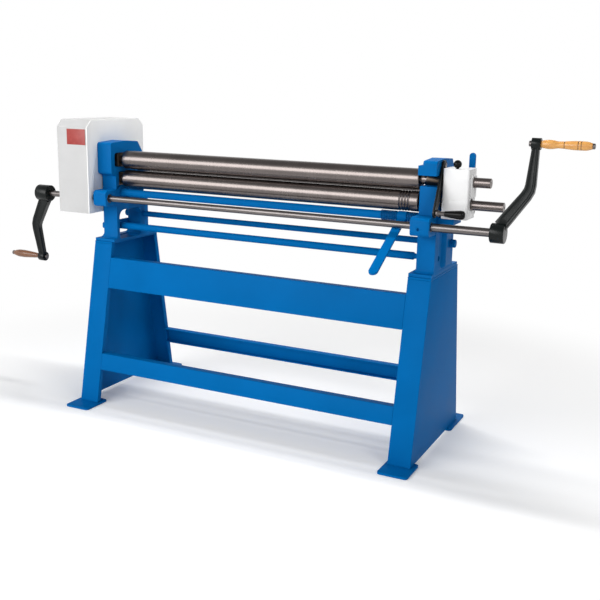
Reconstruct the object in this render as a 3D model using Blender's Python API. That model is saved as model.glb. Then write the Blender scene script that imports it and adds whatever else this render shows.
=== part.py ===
"""Hand-cranked plate rolling machine: two geared pinch rolls and a rear bending roll on a welded stand.

Everything is modelled from the middle of the roll barrels: x runs along the rolls to the right, y to the
back from the pinch rolls' axis, z up from the floor. The empty "machine" then moves the whole to its frame,
whose origin is the middle of the machine's footprint on the floor.
"""
from math import acos, atan2, cos, hypot, pi, radians, sin, sqrt, tan

import bmesh
import bpy
from mathutils import Matrix, Vector

# Fits between pieces
SEAT_GAP = 0.0003          # two faces that bear on each other
RUNNING_CLEARANCE = 0.0003  # a shaft in its bush
SIDE_CLEARANCE = 0.0015    # a wheel, arm or block beside what carries it

# Rolls
BARREL_LENGTH = 1.290
PINCH_SHIFT = 0.020           # the pinch rolls' barrels stand nearer to the right frame
ROLL_DIAMETER = 0.075
ROLL_OPENING = 0.0045
TOP_ROLL_HEIGHT = 1.0215
ROLL_ABOVE_STAND = 0.342
JOURNAL_DIAMETER = 0.035
UPPER_EXTENSION = 0.066
LOWER_EXTENSION = 0.116
ROLL_CHAMFER = 0.002
WIRE_GROOVE_COUNT = 4
WIRE_GROOVE_PITCH = 0.011
WIRE_GROOVE_DEPTH = 0.003
WIRE_GROOVE_FIRST = 0.035

# End frames (cast)
LEFT_FRAME_THICKNESS = 0.070
RIGHT_FRAME_THICKNESS = 0.067
RIGHT_FRAME_GAP = 0.031
HEAD_FRONT = -0.078
NECK_FRONT = -0.049
REAR_WALL = 0.025
HEAD_DROP = 0.0615
HEAD_RISE = 0.0765
HEAD_CORNER = 0.012
HEAD_SLOPE = 0.006
CROWN_FRONT = 0.020
CROWN_REAR = 0.105
KNEE_RISE = 0.0245
KNEE_INSET = 0.032
BASE_FLANGE = 0.012
BASE_FILLET = 0.014
FRAME_WALL = 0.023
BOSS_WALL = 0.0285
BOSS_HEIGHT = 0.066
OIL_HOLE_DIAMETER = 0.011
OIL_HOLE_INSET = 0.027
OIL_HOLE_DROP = 0.008
JAW_BUSH_WALL = 0.0025
JAW_LUG_HEIGHT = 0.034
WINDOW_FRONT = -0.032
WINDOW_REAR = 0.118
WINDOW_SILL = 0.0085
WINDOW_DROP = 0.2105
WINDOW_CORNER = 0.032
SIDE_RIB_RADIUS = 0.022
SIDE_RIB_Y = 0.048
SIDE_RIB_FOOT = 0.0175
SIDE_RIB_DROP = 0.1755
SIDE_RIB_SINK = 0.008
LEFT_BOSS_INSET = 0.015
TIE_NECK_INSET = 0.027

# Stand (folded sheet)
STAND_OVERHANG = 0.001
STAND_FRONT_TOP = -0.076
STAND_REAR_TOP = 0.249
STAND_FRONT_FOOT = -0.204
STAND_REAR_FOOT = 0.3635
FLANGE_WIDTH = 0.088
FLANGE_LIP = 0.022
SHEET = 0.005
TOP_PLATE = 0.008
FOOT_PLATE = 0.008
FOOT_FRONT_REACH = 0.081
FOOT_REAR_REACH = 0.0665
FRONT_FOOT_DEPTH = 0.135
REAR_FOOT_DEPTH = 0.195
FOOT_WIDTH = 0.115
FOOT_OUTSIDE = 0.016
UPPER_BEAM_DROP = 0.0635
UPPER_BEAM_HEIGHT = 0.126
LOWER_BEAM_TOP = 0.216
LOWER_BEAM_HEIGHT = 0.068
BEAM_RETURN = 0.032

# Drive: front shaft, pinion, idler and the roll gears
GEAR_MODULE = 0.004
ROLL_GEAR_ROOM = 0.001
PINION_TEETH = 15
IDLER_TEETH = 18
MAIN_GEAR_TEETH = 60
ROLL_GEAR_TEETH = 19
GEAR_BACKLASH = 0.0010
GEAR_WIDTH = 0.024
GEAR_SPACING = 0.016
SHAFT_Y = -0.1015
SHAFT_DROP = 0.1535
SHAFT_DIAMETER = 0.025
SHAFT_OUTER_DIAMETER = 0.030
BUSH_WALL = 0.004
IDLER_STUD_DIAMETER = 0.016
STUD_DEPTH = 0.015

# Gear cover (sheet) with its back plate
BACK_PLATE = 0.006
PLATE_STEP = 0.0035
PLATE_STEP_DROP = 0.0585
PLATE_STRIP_REAR = -0.105
COVER_WIDTH = 0.149
COVER_FRONT_ROOM = 0.0085
COVER_REAR = 0.241
COVER_DROP = 0.2185
COVER_RISE = 0.1615
COVER_SHEET = 0.0025
COVER_CHAMFER = 0.030
BLANK_PLATE_WIDTH = 0.094
BLANK_PLATE_HEIGHT = 0.063
BLANK_PLATE_DROP = 0.037
BLANK_PLATE_INSET = 0.003
BLANK_PLATE_THICKNESS = 0.0015

# Cranks
RIGHT_BOSS_REACH = 0.2322
RIGHT_BOSS_LENGTH = 0.048
RIGHT_BOSS_RADIUS = 0.034
RIGHT_CRANK_RADIUS = 0.308
RIGHT_CRANK_OFFSET = 0.0868
RIGHT_KNEE = 0.148
RIGHT_CRANK_ANGLE = radians(15.8)
RIGHT_GRIP_LENGTH = 0.164
RIGHT_GRIP_RADIUS = 0.0155
RIGHT_EYE_LENGTH = 0.030
LEFT_BOSS_REACH = 0.1118
LEFT_BOSS_LENGTH = 0.062
LEFT_BOSS_RADIUS = 0.034
LEFT_CRANK_RADIUS = 0.301
LEFT_CRANK_OFFSET = 0.085
LEFT_KNEE = 0.148
LEFT_CRANK_ANGLE = radians(168.0)
LEFT_EYE_LENGTH = 0.030
LEFT_GRIP_LENGTH = 0.151
LEFT_GRIP_RADIUS = 0.0165
CRANK_FLUTE = 0.0045
CRANK_FLANGE = 0.007
SPINDLE_RADIUS = 0.006
EYE_RADIUS = 0.020

# Clamp: cross shaft with two eccentrics under the lower roll's blocks
CLAMP_SHAFT_DIAMETER = 0.030
CLAMP_SHAFT_Y = -0.008
CLAMP_SHAFT_DROP = 0.058
CAM_THROW = 0.0057
BLOCK_WIDTH = 0.060
BLOCK_HEIGHT = 0.050
BLOCK_END_ROOM = 0.004
BLOCK_RISE_ROOM = 0.005
CLAMP_LEVER_INSET = 0.072
CLAMP_LEVER_REACH_Y = -0.289
CLAMP_LEVER_REACH_Z = -0.162
CLAMP_LEVER_WIDTH = 0.034
CLAMP_LEVER_THICKNESS = 0.008
CLAMP_HUB_RADIUS = 0.0195
SPRING_WIRE = 0.0036
SPRING_PITCH = 0.0063
LEFT_SPRING_TURNS = 10
RIGHT_SPRING_TURNS = 7
SPRING_POINTS = 8

# Rear bending roll on two swing arms
REAR_ROLL_GAP = 0.011
REAR_ROLL_DROP = 0.001
PIVOT_BEHIND = 0.059
PIVOT_DROP = 0.037
PIVOT_DIAMETER = 0.025
SWING_ARM_THICKNESS = 0.018
SWING_ARM_END_RADIUS = 0.023
REAR_JOURNAL_DIAMETER = 0.024
SWING_UP = radians(35.0)
SWING_DOWN = radians(15.0)
REAR_LEVER_OUTSET = 0.062
REAR_LEVER_HEIGHT = 0.209
REAR_LEVER_WIDTH = 0.024
REAR_LEVER_THICKNESS = 0.009
REAR_HUB_RADIUS = 0.021

# Tie rods
REAR_TIE_BEHIND = 0.020
REAR_TIE_RISE = 0.0975
REAR_TIE_DIAMETER = 0.024
TIE_END_DIAMETER = 0.018
TIE_NUT_RADIUS = 0.0155
TIE_NUT_LENGTH = 0.020
LOWER_TIE_RISE = 0.0625
LOWER_TIE_DIAMETER = 0.029
LOWER_TIE_NECK_DIAMETER = 0.020
STRAP_HEIGHT = 0.024
STRAP_BOSS_RADIUS = 0.019
STRAP_THICKNESS = 0.012
STRAP_OVERLAP = 0.012

# Right bearing housing with its lock lever and index plunger
LOCK_ARM_GAP = 0.003
LOCK_ARM_THICKNESS = 0.008
LOCK_HEAD_ROOM = 0.003
HOUSING_LENGTH = 0.093
HOUSING_FRONT = -0.048
HOUSING_REAR = 0.048
HOUSING_RISE = 0.0465
HOUSING_SKIRT = 0.048
HOUSING_WALL = 0.006
HOUSING_STEP_DROP = 0.0645
HOUSING_STEP = 0.003
HOUSING_LUG_WIDTH = 0.024
END_PLATE = 0.006
END_PLATE_HALF = 0.030
END_PLATE_DROP = 0.0535
END_PLATE_RISE = 0.0235
BRACKET_LENGTH = 0.060
BRACKET_HEIGHT = 0.022
LOCK_PIVOT_Y = -0.015
LOCK_PIVOT_RISE = 0.0535
LOCK_END_Y = -0.098
LOCK_END_DROP = 0.1035
LOCK_ARM_RADIUS = 0.017
LOCK_PIN_RADIUS = 0.007
LOCK_ROD_RADIUS = 0.006
LOCK_HEAD_LENGTH = 0.0022
LOCK_COLLAR_LENGTH = 0.010
LOCK_NECK_LENGTH = 0.032
LOCK_GRIP_LENGTH = 0.072
LOCK_GRIP_RADIUS = 0.0155
PLUNGER_INSET = 0.013
PLUNGER_OFFSET = 0.046
PLUNGER_TRAVEL = 0.008
BALL_RADIUS = 0.0145
PLUNGER_STEM_RADIUS = 0.005

# Fineness of round pieces
ROLL_SIDES = 30
SHAFT_SIDES = 20
SMALL_SIDES = 14

# Places worked out from the sizes above
ROLL_RADIUS = ROLL_DIAMETER / 2
JOURNAL_RADIUS = JOURNAL_DIAMETER / 2
BARREL_END = BARREL_LENGTH / 2
LOWER_ROLL_Z = TOP_ROLL_HEIGHT - ROLL_DIAMETER - ROLL_OPENING
REAR_ROLL_Y = ROLL_DIAMETER + REAR_ROLL_GAP
REAR_ROLL_Z = LOWER_ROLL_Z - REAR_ROLL_DROP
PIVOT_Y = REAR_ROLL_Y + PIVOT_BEHIND
PIVOT_Z = REAR_ROLL_Z - PIVOT_DROP
CLAMP_SHAFT_Z = LOWER_ROLL_Z - CLAMP_SHAFT_DROP
STAND_HEIGHT = TOP_ROLL_HEIGHT - ROLL_ABOVE_STAND
UPPER_BEAM_TOP = STAND_HEIGHT - UPPER_BEAM_DROP
LEFT_INNER = -(BARREL_END + 2 * SEAT_GAP)
LEFT_OUTER = LEFT_INNER - LEFT_FRAME_THICKNESS
RIGHT_INNER = BARREL_END + RIGHT_FRAME_GAP
RIGHT_OUTER = RIGHT_INNER + RIGHT_FRAME_THICKNESS
STAND_HALF_LENGTH = RIGHT_OUTER + STAND_OVERHANG
FRAME_BASE = STAND_HEIGHT + SEAT_GAP
FRAME_REAR = PIVOT_Y + REAR_WALL
HEAD_BOTTOM = TOP_ROLL_HEIGHT - HEAD_DROP
HEAD_TOP = TOP_ROLL_HEIGHT + HEAD_RISE
JAW_HEIGHT = JOURNAL_DIAMETER + 2 * JAW_BUSH_WALL
WINDOW_BOTTOM = STAND_HEIGHT + WINDOW_SILL
WINDOW_TOP = TOP_ROLL_HEIGHT - WINDOW_DROP
SIDE_RIB_BOTTOM = STAND_HEIGHT + SIDE_RIB_FOOT
SIDE_RIB_TOP = TOP_ROLL_HEIGHT - SIDE_RIB_DROP
BLOCK_LENGTH = min(LEFT_FRAME_THICKNESS, RIGHT_FRAME_THICKNESS) - FRAME_WALL - BLOCK_END_ROOM
REAR_TIE_Y = WINDOW_REAR + REAR_TIE_BEHIND
REAR_TIE_Z = STAND_HEIGHT + REAR_TIE_RISE
LOWER_TIE_Z = STAND_HEIGHT + LOWER_TIE_RISE
SHAFT_Z = TOP_ROLL_HEIGHT - SHAFT_DROP
BOSS_FRONT = SHAFT_Y - BOSS_WALL
OIL_HOLE_X = RIGHT_INNER + OIL_HOLE_INSET
OIL_HOLE_Z = SHAFT_Z - OIL_HOLE_DROP
ROLL_GEAR_MODULE = (ROLL_DIAMETER + ROLL_GEAR_ROOM) / ROLL_GEAR_TEETH
PINION_RADIUS = GEAR_MODULE * PINION_TEETH / 2
IDLER_RADIUS = GEAR_MODULE * IDLER_TEETH / 2
MAIN_GEAR_RADIUS = GEAR_MODULE * MAIN_GEAR_TEETH / 2
SHAFT_TO_ROLL = hypot(SHAFT_Y, TOP_ROLL_HEIGHT - SHAFT_Z)
SHAFT_TO_IDLER = PINION_RADIUS + IDLER_RADIUS
IDLER_TO_ROLL = IDLER_RADIUS + MAIN_GEAR_RADIUS
IDLER_ALONG = (SHAFT_TO_IDLER ** 2 - IDLER_TO_ROLL ** 2 + SHAFT_TO_ROLL ** 2) / (2 * SHAFT_TO_ROLL)
IDLER_ASIDE = sqrt(SHAFT_TO_IDLER ** 2 - IDLER_ALONG ** 2)
LINE_Y = -SHAFT_Y / SHAFT_TO_ROLL
LINE_Z = (TOP_ROLL_HEIGHT - SHAFT_Z) / SHAFT_TO_ROLL
IDLER_Y = SHAFT_Y + IDLER_ALONG * LINE_Y + IDLER_ASIDE * LINE_Z
IDLER_Z = SHAFT_Z + IDLER_ALONG * LINE_Z - IDLER_ASIDE * LINE_Y
SHAFT_RADIUS = SHAFT_DIAMETER / 2
PLATE_RIGHT = LEFT_OUTER - SEAT_GAP
PLATE_LEFT = PLATE_RIGHT - BACK_PLATE
ROLL_GEAR_RIGHT = PLATE_LEFT - GEAR_SPACING
ROLL_GEAR_LEFT = ROLL_GEAR_RIGHT - GEAR_WIDTH
MAIN_GEAR_RIGHT = ROLL_GEAR_LEFT - GEAR_SPACING
MAIN_GEAR_LEFT = MAIN_GEAR_RIGHT - GEAR_WIDTH
COVER_RIGHT = PLATE_LEFT - SEAT_GAP
COVER_LEFT = COVER_RIGHT - COVER_WIDTH
COVER_FRONT = SHAFT_Y - PINION_RADIUS - COVER_FRONT_ROOM
COVER_BOTTOM = TOP_ROLL_HEIGHT - COVER_DROP
COVER_TOP = TOP_ROLL_HEIGHT + COVER_RISE
PLATE_STEP_HEIGHT = TOP_ROLL_HEIGHT - PLATE_STEP_DROP
BLANK_PLATE_TOP = COVER_TOP - BLANK_PLATE_DROP
CAM_RADIUS = LOWER_ROLL_Z - BLOCK_HEIGHT / 2 - SEAT_GAP - CLAMP_SHAFT_Z
BODY_POCKET = LEFT_FRAME_THICKNESS - FRAME_WALL
LOCK_ARM_LEFT = RIGHT_OUTER + LOCK_ARM_GAP
LOCK_PIVOT_Z = TOP_ROLL_HEIGHT + LOCK_PIVOT_RISE
LOCK_END_Z = TOP_ROLL_HEIGHT - LOCK_END_DROP
HOUSING_LEFT = LOCK_ARM_LEFT + LOCK_ARM_THICKNESS + LOCK_HEAD_ROOM
HOUSING_RIGHT = HOUSING_LEFT + HOUSING_LENGTH
HOUSING_TOP = TOP_ROLL_HEIGHT + HOUSING_RISE
HOUSING_BOTTOM = LOWER_ROLL_Z - HOUSING_SKIRT
HOUSING_STEP_TOP = TOP_ROLL_HEIGHT - HOUSING_STEP_DROP
END_PLATE_BOTTOM = TOP_ROLL_HEIGHT - END_PLATE_DROP
END_PLATE_TOP = TOP_ROLL_HEIGHT + END_PLATE_RISE
PLUNGER_Y = HOUSING_FRONT + PLUNGER_INSET
UPPER_EXTENSION_END = HOUSING_RIGHT + UPPER_EXTENSION
LOWER_EXTENSION_END = HOUSING_RIGHT + LOWER_EXTENSION
CLAMP_LEVER_X = RIGHT_INNER - CLAMP_LEVER_INSET
REAR_LEVER_X = RIGHT_OUTER + REAR_LEVER_OUTSET
REAR_LEVER_TOP = PIVOT_Z + REAR_LEVER_HEIGHT
RIGHT_BOSS_CENTRE = RIGHT_OUTER + RIGHT_BOSS_REACH
LEFT_BOSS_CENTRE = COVER_LEFT - LEFT_BOSS_REACH
RIGHT_ARM_X = RIGHT_BOSS_CENTRE + RIGHT_CRANK_OFFSET
LEFT_ARM_X = LEFT_BOSS_CENTRE - LEFT_CRANK_OFFSET
RIGHT_GRIP_START = RIGHT_ARM_X + RIGHT_EYE_LENGTH / 2 + 2 * SEAT_GAP
RIGHT_GRIP_END = RIGHT_GRIP_START + RIGHT_GRIP_LENGTH
LEFT_GRIP_START = LEFT_ARM_X - LEFT_EYE_LENGTH / 2 - 2 * SEAT_GAP
LEFT_GRIP_END = LEFT_GRIP_START - LEFT_GRIP_LENGTH
SPINDLE_CAP = 0.009
FOOT_FRONT_EDGE = STAND_FRONT_FOOT - FOOT_FRONT_REACH
FOOT_REAR_EDGE = STAND_REAR_FOOT + FOOT_REAR_REACH
CENTRE_X = (RIGHT_GRIP_END + SPINDLE_CAP + LEFT_GRIP_END - SPINDLE_CAP) / 2
CLAMP_LEVER_LENGTH = hypot(CLAMP_LEVER_REACH_Y, CLAMP_LEVER_REACH_Z)
CLAMP_LEVER_SHARE = -CLAMP_LEVER_REACH_Z / CLAMP_LEVER_LENGTH
CLAMP_LEVER_TIP = CLAMP_SHAFT_Y + CLAMP_LEVER_REACH_Y - CLAMP_LEVER_THICKNESS / 2 * CLAMP_LEVER_SHARE
CENTRE_Y = (CLAMP_LEVER_TIP + FOOT_REAR_EDGE) / 2


def clear_scene():
    """Removes whatever the file holds before the machine is made."""
    for leftover in list(bpy.data.objects):
        bpy.data.objects.remove(leftover, do_unlink=True)


def paint(name, colour, roughness, metallic):
    """A Principled material in one colour."""
    material = bpy.data.materials.new(name)
    material.use_nodes = True
    shader = material.node_tree.nodes["Principled BSDF"]
    shader.inputs["Base Color"].default_value = (*colour, 1.0)
    shader.inputs["Roughness"].default_value = roughness
    shader.inputs["Metallic"].default_value = metallic
    return material


clear_scene()
machine = bpy.data.objects.new("machine", None)
machine.location = (-CENTRE_X, -CENTRE_Y, 0.0)
bpy.context.scene.collection.objects.link(machine)

BLUE = paint("blue_paint", (0.003, 0.133, 0.418), 0.35, 0.0)
WHITE = paint("white_paint", (0.62, 0.62, 0.62), 0.4, 0.0)
RED = paint("red_plate", (0.55, 0.03, 0.02), 0.4, 0.0)
STEEL = paint("ground_steel", (0.42, 0.40, 0.39), 0.28, 1.0)
GEAR_STEEL = paint("gear_steel", (0.20, 0.19, 0.18), 0.45, 1.0)
BRONZE = paint("bearing_bronze", (0.35, 0.20, 0.09), 0.4, 1.0)
BLACK_IRON = paint("black_iron", (0.012, 0.012, 0.014), 0.5, 0.0)
BLACK_PLASTIC = paint("black_plastic", (0.008, 0.008, 0.008), 0.3, 0.0)
WOOD = paint("handle_wood", (0.55, 0.24, 0.05), 0.4, 0.0)
BLUE_SPRING = paint("painted_spring", (0.003, 0.10, 0.32), 0.4, 0.0)


def finish(name, shape, material, smooth_angle=30.0, at=(0.0, 0.0, 0.0)):
    """Puts a bmesh into a named object whose origin is at the given place."""
    bmesh.ops.remove_doubles(shape, verts=shape.verts, dist=1e-6)
    bmesh.ops.recalc_face_normals(shape, faces=shape.faces)
    bmesh.ops.translate(shape, verts=shape.verts, vec=-Vector(at))
    mesh = bpy.data.meshes.new(name)
    shape.to_mesh(mesh)
    shape.free()
    mesh.shade_smooth()
    mesh.set_sharp_from_angle(angle=radians(smooth_angle))
    mesh.materials.append(material)
    piece = bpy.data.objects.new(name, mesh)
    piece.location = at
    piece.parent = machine
    bpy.context.scene.collection.objects.link(piece)
    return piece


def plate(loops, low, high, across="x"):
    """An outline with holes, filled and extruded from low to high.

    The outline lies in the plane square to the given direction: (y, z) for x, (x, z) for y, (x, y) for z.
    """
    shape = bmesh.new()
    place = {
        "x": lambda u, v: (low, u, v),
        "y": lambda u, v: (u, low, v),
        "z": lambda u, v: (u, v, low),
    }[across]
    step = {"x": Vector((1, 0, 0)), "y": Vector((0, 1, 0)), "z": Vector((0, 0, 1))}[across]
    for loop in loops:
        ring = [shape.verts.new(place(u, v)) for u, v in loop]
        for start, end in zip(ring, ring[1:] + ring[:1]):
            shape.edges.new((start, end))
    bmesh.ops.triangle_fill(shape, use_beauty=True, use_dissolve=False, edges=shape.edges[:])
    faces = shape.faces[:]
    pushed = bmesh.ops.extrude_face_region(shape, geom=faces)
    moved = [item for item in pushed["geom"] if isinstance(item, bmesh.types.BMVert)]
    bmesh.ops.translate(shape, verts=moved, vec=step * (high - low))
    return shape


def turned(profile, centre, sides, closed=False):
    """A profile of (x, radius) points spun round the x line through centre (y, z).

    A closed profile makes a ring; an open one starts and ends on the axis.
    """
    shape = bmesh.new()
    ring = [shape.verts.new((x, centre[0], centre[1] + radius)) for x, radius in profile]
    pairs = list(zip(ring, ring[1:]))
    if closed:
        pairs.append((ring[-1], ring[0]))
    for start, end in pairs:
        shape.edges.new((start, end))
    bmesh.ops.spin(
        shape, geom=shape.verts[:] + shape.edges[:], cent=(0.0, *centre), axis=(1, 0, 0),
        angle=2 * pi, steps=sides, use_merge=True)
    bmesh.ops.remove_doubles(shape, verts=shape.verts, dist=1e-6)
    return shape


def circle(centre, radius, sides, start=0.0):
    """Points round a circle."""
    return [(centre[0] + radius * cos(start + 2 * pi * i / sides),
             centre[1] + radius * sin(start + 2 * pi * i / sides)) for i in range(sides)]


def slot_hole(centre, radius, rise, sides):
    """A round hole drawn upward by rise, so that what runs in it can lift."""
    points = []
    for i in range(sides + 1):
        turn = -pi + pi * i / sides
        points.append((centre[0] + radius * cos(turn), centre[1] + radius * sin(turn)))
    for i in range(sides + 1):
        turn = pi * i / sides
        points.append((centre[0] + radius * cos(turn), centre[1] + rise + radius * sin(turn)))
    return points


def rounded(corners, steps=4):
    """An outline from (u, v, radius) corners, each rounded by an arc of its radius."""
    points = []
    count = len(corners)
    for i, (u, v, radius) in enumerate(corners):
        here = Vector((u, v))
        if radius <= 0:
            points.append((u, v))
            continue
        before = (Vector(corners[i - 1][:2]) - here).normalized()
        after = (Vector(corners[(i + 1) % count][:2]) - here).normalized()
        half = acos(max(-1.0, min(1.0, before.dot(after)))) / 2
        reach = radius / tan(half)
        middle = here + (before + after).normalized() * (radius / sin(half))
        first = here + before * reach - middle
        last = here + after * reach - middle
        start = atan2(first.y, first.x)
        sweep = (atan2(last.y, last.x) - start + pi) % (2 * pi) - pi
        for k in range(steps + 1):
            turn = start + sweep * k / steps
            points.append((middle.x + radius * cos(turn), middle.y + radius * sin(turn)))
    return points


def box(low, high):
    """A plain block between two corners."""
    shape = bmesh.new()
    bmesh.ops.create_cube(shape, size=1.0)
    size = [b - a for a, b in zip(low, high)]
    middle = [(a + b) / 2 for a, b in zip(low, high)]
    bmesh.ops.scale(shape, verts=shape.verts, vec=size)
    bmesh.ops.translate(shape, verts=shape.verts, vec=middle)
    return shape


def shape_with(piece, tool_shape, operation, name):
    """Joins a shape to a piece, or cuts it away, with an exact Boolean."""
    bmesh.ops.recalc_face_normals(tool_shape, faces=tool_shape.faces)
    mesh = bpy.data.meshes.new(name)
    tool_shape.to_mesh(mesh)
    tool_shape.free()
    tool = bpy.data.objects.new(name, mesh)
    tool.parent = machine
    tool.hide_render = True
    tool.display_type = "WIRE"
    bpy.context.scene.collection.objects.link(tool)
    change = piece.modifiers.new(name, "BOOLEAN")
    change.object = tool
    change.operation = operation
    change.solver = "EXACT"


def cut(piece, tool_shape, name):
    """Cuts a shape away from a piece."""
    shape_with(piece, tool_shape, "DIFFERENCE", f"cutter_{piece.name}_{name}")


def join(piece, tool_shape, name):
    """Joins a shape to a piece."""
    shape_with(piece, tool_shape, "UNION", f"cutter_{piece.name}_{name}")


# Stand: two folded legs, their top and foot plates, and three beams

def stand_line(top, foot, height):
    """The y of a sloping stand edge at a height."""
    leg_top = STAND_HEIGHT - TOP_PLATE - SEAT_GAP
    leg_foot = FOOT_PLATE + SEAT_GAP
    share = (leg_top - height) / (leg_top - leg_foot)
    return top + (foot - top) * share


def leg_section(side, height):
    """Folded section of a leg at a height: side panel, two flanges and their return lips."""
    front = stand_line(STAND_FRONT_TOP, STAND_FRONT_FOOT, height)
    rear = stand_line(STAND_REAR_TOP, STAND_REAR_FOOT, height)
    outer = STAND_HALF_LENGTH
    inner = STAND_HALF_LENGTH - FLANGE_WIDTH
    corners = [
        (outer, front), (outer, rear), (inner, rear), (inner, rear - FLANGE_LIP),
        (inner + SHEET, rear - FLANGE_LIP), (inner + SHEET, rear - SHEET), (outer - SHEET, rear - SHEET),
        (outer - SHEET, front + SHEET), (inner + SHEET, front + SHEET), (inner + SHEET, front + FLANGE_LIP),
        (inner, front + FLANGE_LIP), (inner, front),
    ]
    return [(side * x, y, height) for x, y in corners]


def make_leg(name, side):
    """One leg, lofted from its foot section to its top section."""
    shape = bmesh.new()
    low = [shape.verts.new(point) for point in leg_section(side, FOOT_PLATE + SEAT_GAP)]
    high = [shape.verts.new(point) for point in leg_section(side, STAND_HEIGHT - TOP_PLATE - SEAT_GAP)]
    lower_ring = [shape.edges.new(pair) for pair in zip(low, low[1:] + low[:1])]
    upper_ring = [shape.edges.new(pair) for pair in zip(high, high[1:] + high[:1])]
    bmesh.ops.bridge_loops(shape, edges=lower_ring + upper_ring)
    shape.faces.new(low)
    shape.faces.new(high)
    finish(name, shape, BLUE)


def make_top_plate(name, side):
    """The plate welded over a leg, on which the end frame stands."""
    inner = STAND_HALF_LENGTH - FLANGE_WIDTH
    xs = sorted((side * inner, side * STAND_HALF_LENGTH))
    shape = box((xs[0], STAND_FRONT_TOP, STAND_HEIGHT - TOP_PLATE), (xs[1], STAND_REAR_TOP, STAND_HEIGHT))
    finish(name, shape, BLUE)


def make_foot(name, side, low_y, depth):
    """A floor plate under one end of a leg."""
    outer = STAND_HALF_LENGTH + FOOT_OUTSIDE
    xs = sorted((side * (outer - FOOT_WIDTH), side * outer))
    corner = 0.012
    outline = rounded([(xs[0], low_y, corner), (xs[1], low_y, corner),
                       (xs[1], low_y + depth, corner), (xs[0], low_y + depth, corner)], 3)
    shape = plate([outline], 0.0, FOOT_PLATE, "z")
    finish(name, shape, BLUE)


def beam_section(top, height, front_line, toward):
    """Channel section of a beam whose web lies in a stand face: (y, z) corners."""
    def web(z):
        return stand_line(*front_line, z)
    bottom = top - height
    inside = toward * SHEET
    reach = toward * BEAM_RETURN
    return [
        (web(bottom), bottom), (web(bottom) + reach, bottom), (web(bottom) + reach, bottom + SHEET),
        (web(bottom + SHEET) + inside, bottom + SHEET), (web(top - SHEET) + inside, top - SHEET),
        (web(top) + reach, top - SHEET), (web(top) + reach, top), (web(top), top),
    ]


def make_beam(name, top, height, front_line, toward):
    """A folded channel between the legs' flanges."""
    end = STAND_HALF_LENGTH - FLANGE_WIDTH - SEAT_GAP
    shape = plate([beam_section(top, height, front_line, toward)], -end, end)
    finish(name, shape, BLUE)


FRONT_LINE = (STAND_FRONT_TOP, STAND_FRONT_FOOT)
REAR_LINE = (STAND_REAR_TOP, STAND_REAR_FOOT)
for side_name, side in (("left", -1), ("right", 1)):
    make_leg(f"{side_name}_leg", side)
    make_top_plate(f"{side_name}_top_plate", side)
    make_foot(f"{side_name}_front_foot", side, FOOT_FRONT_EDGE, FRONT_FOOT_DEPTH)
    make_foot(f"{side_name}_rear_foot", side, FOOT_REAR_EDGE - REAR_FOOT_DEPTH, REAR_FOOT_DEPTH)
make_beam("upper_front_beam", UPPER_BEAM_TOP, UPPER_BEAM_HEIGHT, FRONT_LINE, 1)
make_beam("lower_front_beam", LOWER_BEAM_TOP, LOWER_BEAM_HEIGHT, FRONT_LINE, 1)
make_beam("lower_rear_beam", LOWER_BEAM_TOP, LOWER_BEAM_HEIGHT, REAR_LINE, -1)


# End frames: cast side plates that carry the rolls, the shafts and the tie rods

def frame_outline(jaw):
    """Side view of an end frame; with a jaw, the top roll's slot is open to the front."""
    front_edge = [
        (STAND_FRONT_TOP + 0.004, FRAME_BASE, 0), (STAND_REAR_TOP - 0.009, FRAME_BASE, 0),
        (STAND_REAR_TOP - 0.009, FRAME_BASE + BASE_FLANGE, 0.003),
        (FRAME_REAR, FRAME_BASE + BASE_FLANGE, BASE_FILLET),
        (FRAME_REAR, TOP_ROLL_HEIGHT - 0.020, 0.020),
        (FRAME_REAR - KNEE_INSET, TOP_ROLL_HEIGHT + KNEE_RISE, 0.010),
        (CROWN_REAR, HEAD_TOP - HEAD_SLOPE, 0.008),
        (CROWN_FRONT, HEAD_TOP, 0), (HEAD_FRONT, HEAD_TOP - HEAD_SLOPE, HEAD_CORNER),
    ]
    if jaw:
        half = JAW_HEIGHT / 2
        front_edge.append((HEAD_FRONT, TOP_ROLL_HEIGHT + half, 0.002))
        for i in range(13):
            turn = pi / 2 - pi * i / 12
            front_edge.append((half * cos(turn), TOP_ROLL_HEIGHT + half * sin(turn), 0))
        front_edge.append((NECK_FRONT, TOP_ROLL_HEIGHT - half, 0.002))
    else:
        front_edge.append((HEAD_FRONT, HEAD_BOTTOM + 0.006, 0.014))
        front_edge.append((NECK_FRONT, HEAD_BOTTOM - 0.004, 0.010))
    front_edge.append((NECK_FRONT, FRAME_BASE + BASE_FLANGE, BASE_FILLET))
    front_edge.append((STAND_FRONT_TOP + 0.004, FRAME_BASE + BASE_FLANGE, 0.003))
    return rounded(front_edge)


def window(front, rear, bottom, top, corner):
    """A window with rounded corners."""
    return rounded([(front, bottom, corner * 0.5), (rear, bottom, corner * 0.5), (rear, top, corner),
                    (front, top, corner)], 4)


def bore(radius):
    """Radius of a polygon hole that clears a round piece of the given radius."""
    return (radius + RUNNING_CLEARANCE) / cos(pi / SHAFT_SIDES)


JOURNAL_BORE = bore(JOURNAL_RADIUS)
CLAMP_BORE = bore(CLAMP_SHAFT_DIAMETER / 2)
PIVOT_BORE = bore(PIVOT_DIAMETER / 2)
TIE_BORE = bore(TIE_END_DIAMETER / 2)
BUSH_OUTER = bore(SHAFT_RADIUS) + BUSH_WALL
CAM_POCKET_FRONT = CLAMP_SHAFT_Y - CAM_RADIUS - SIDE_CLEARANCE
CAM_POCKET_REAR = CLAMP_SHAFT_Y + CAM_THROW + CAM_RADIUS + SIDE_CLEARANCE
BLOCK_POCKET_HALF = BLOCK_WIDTH / 2 + SEAT_GAP
TOP_BLOCK_HALF = 0.029


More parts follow.
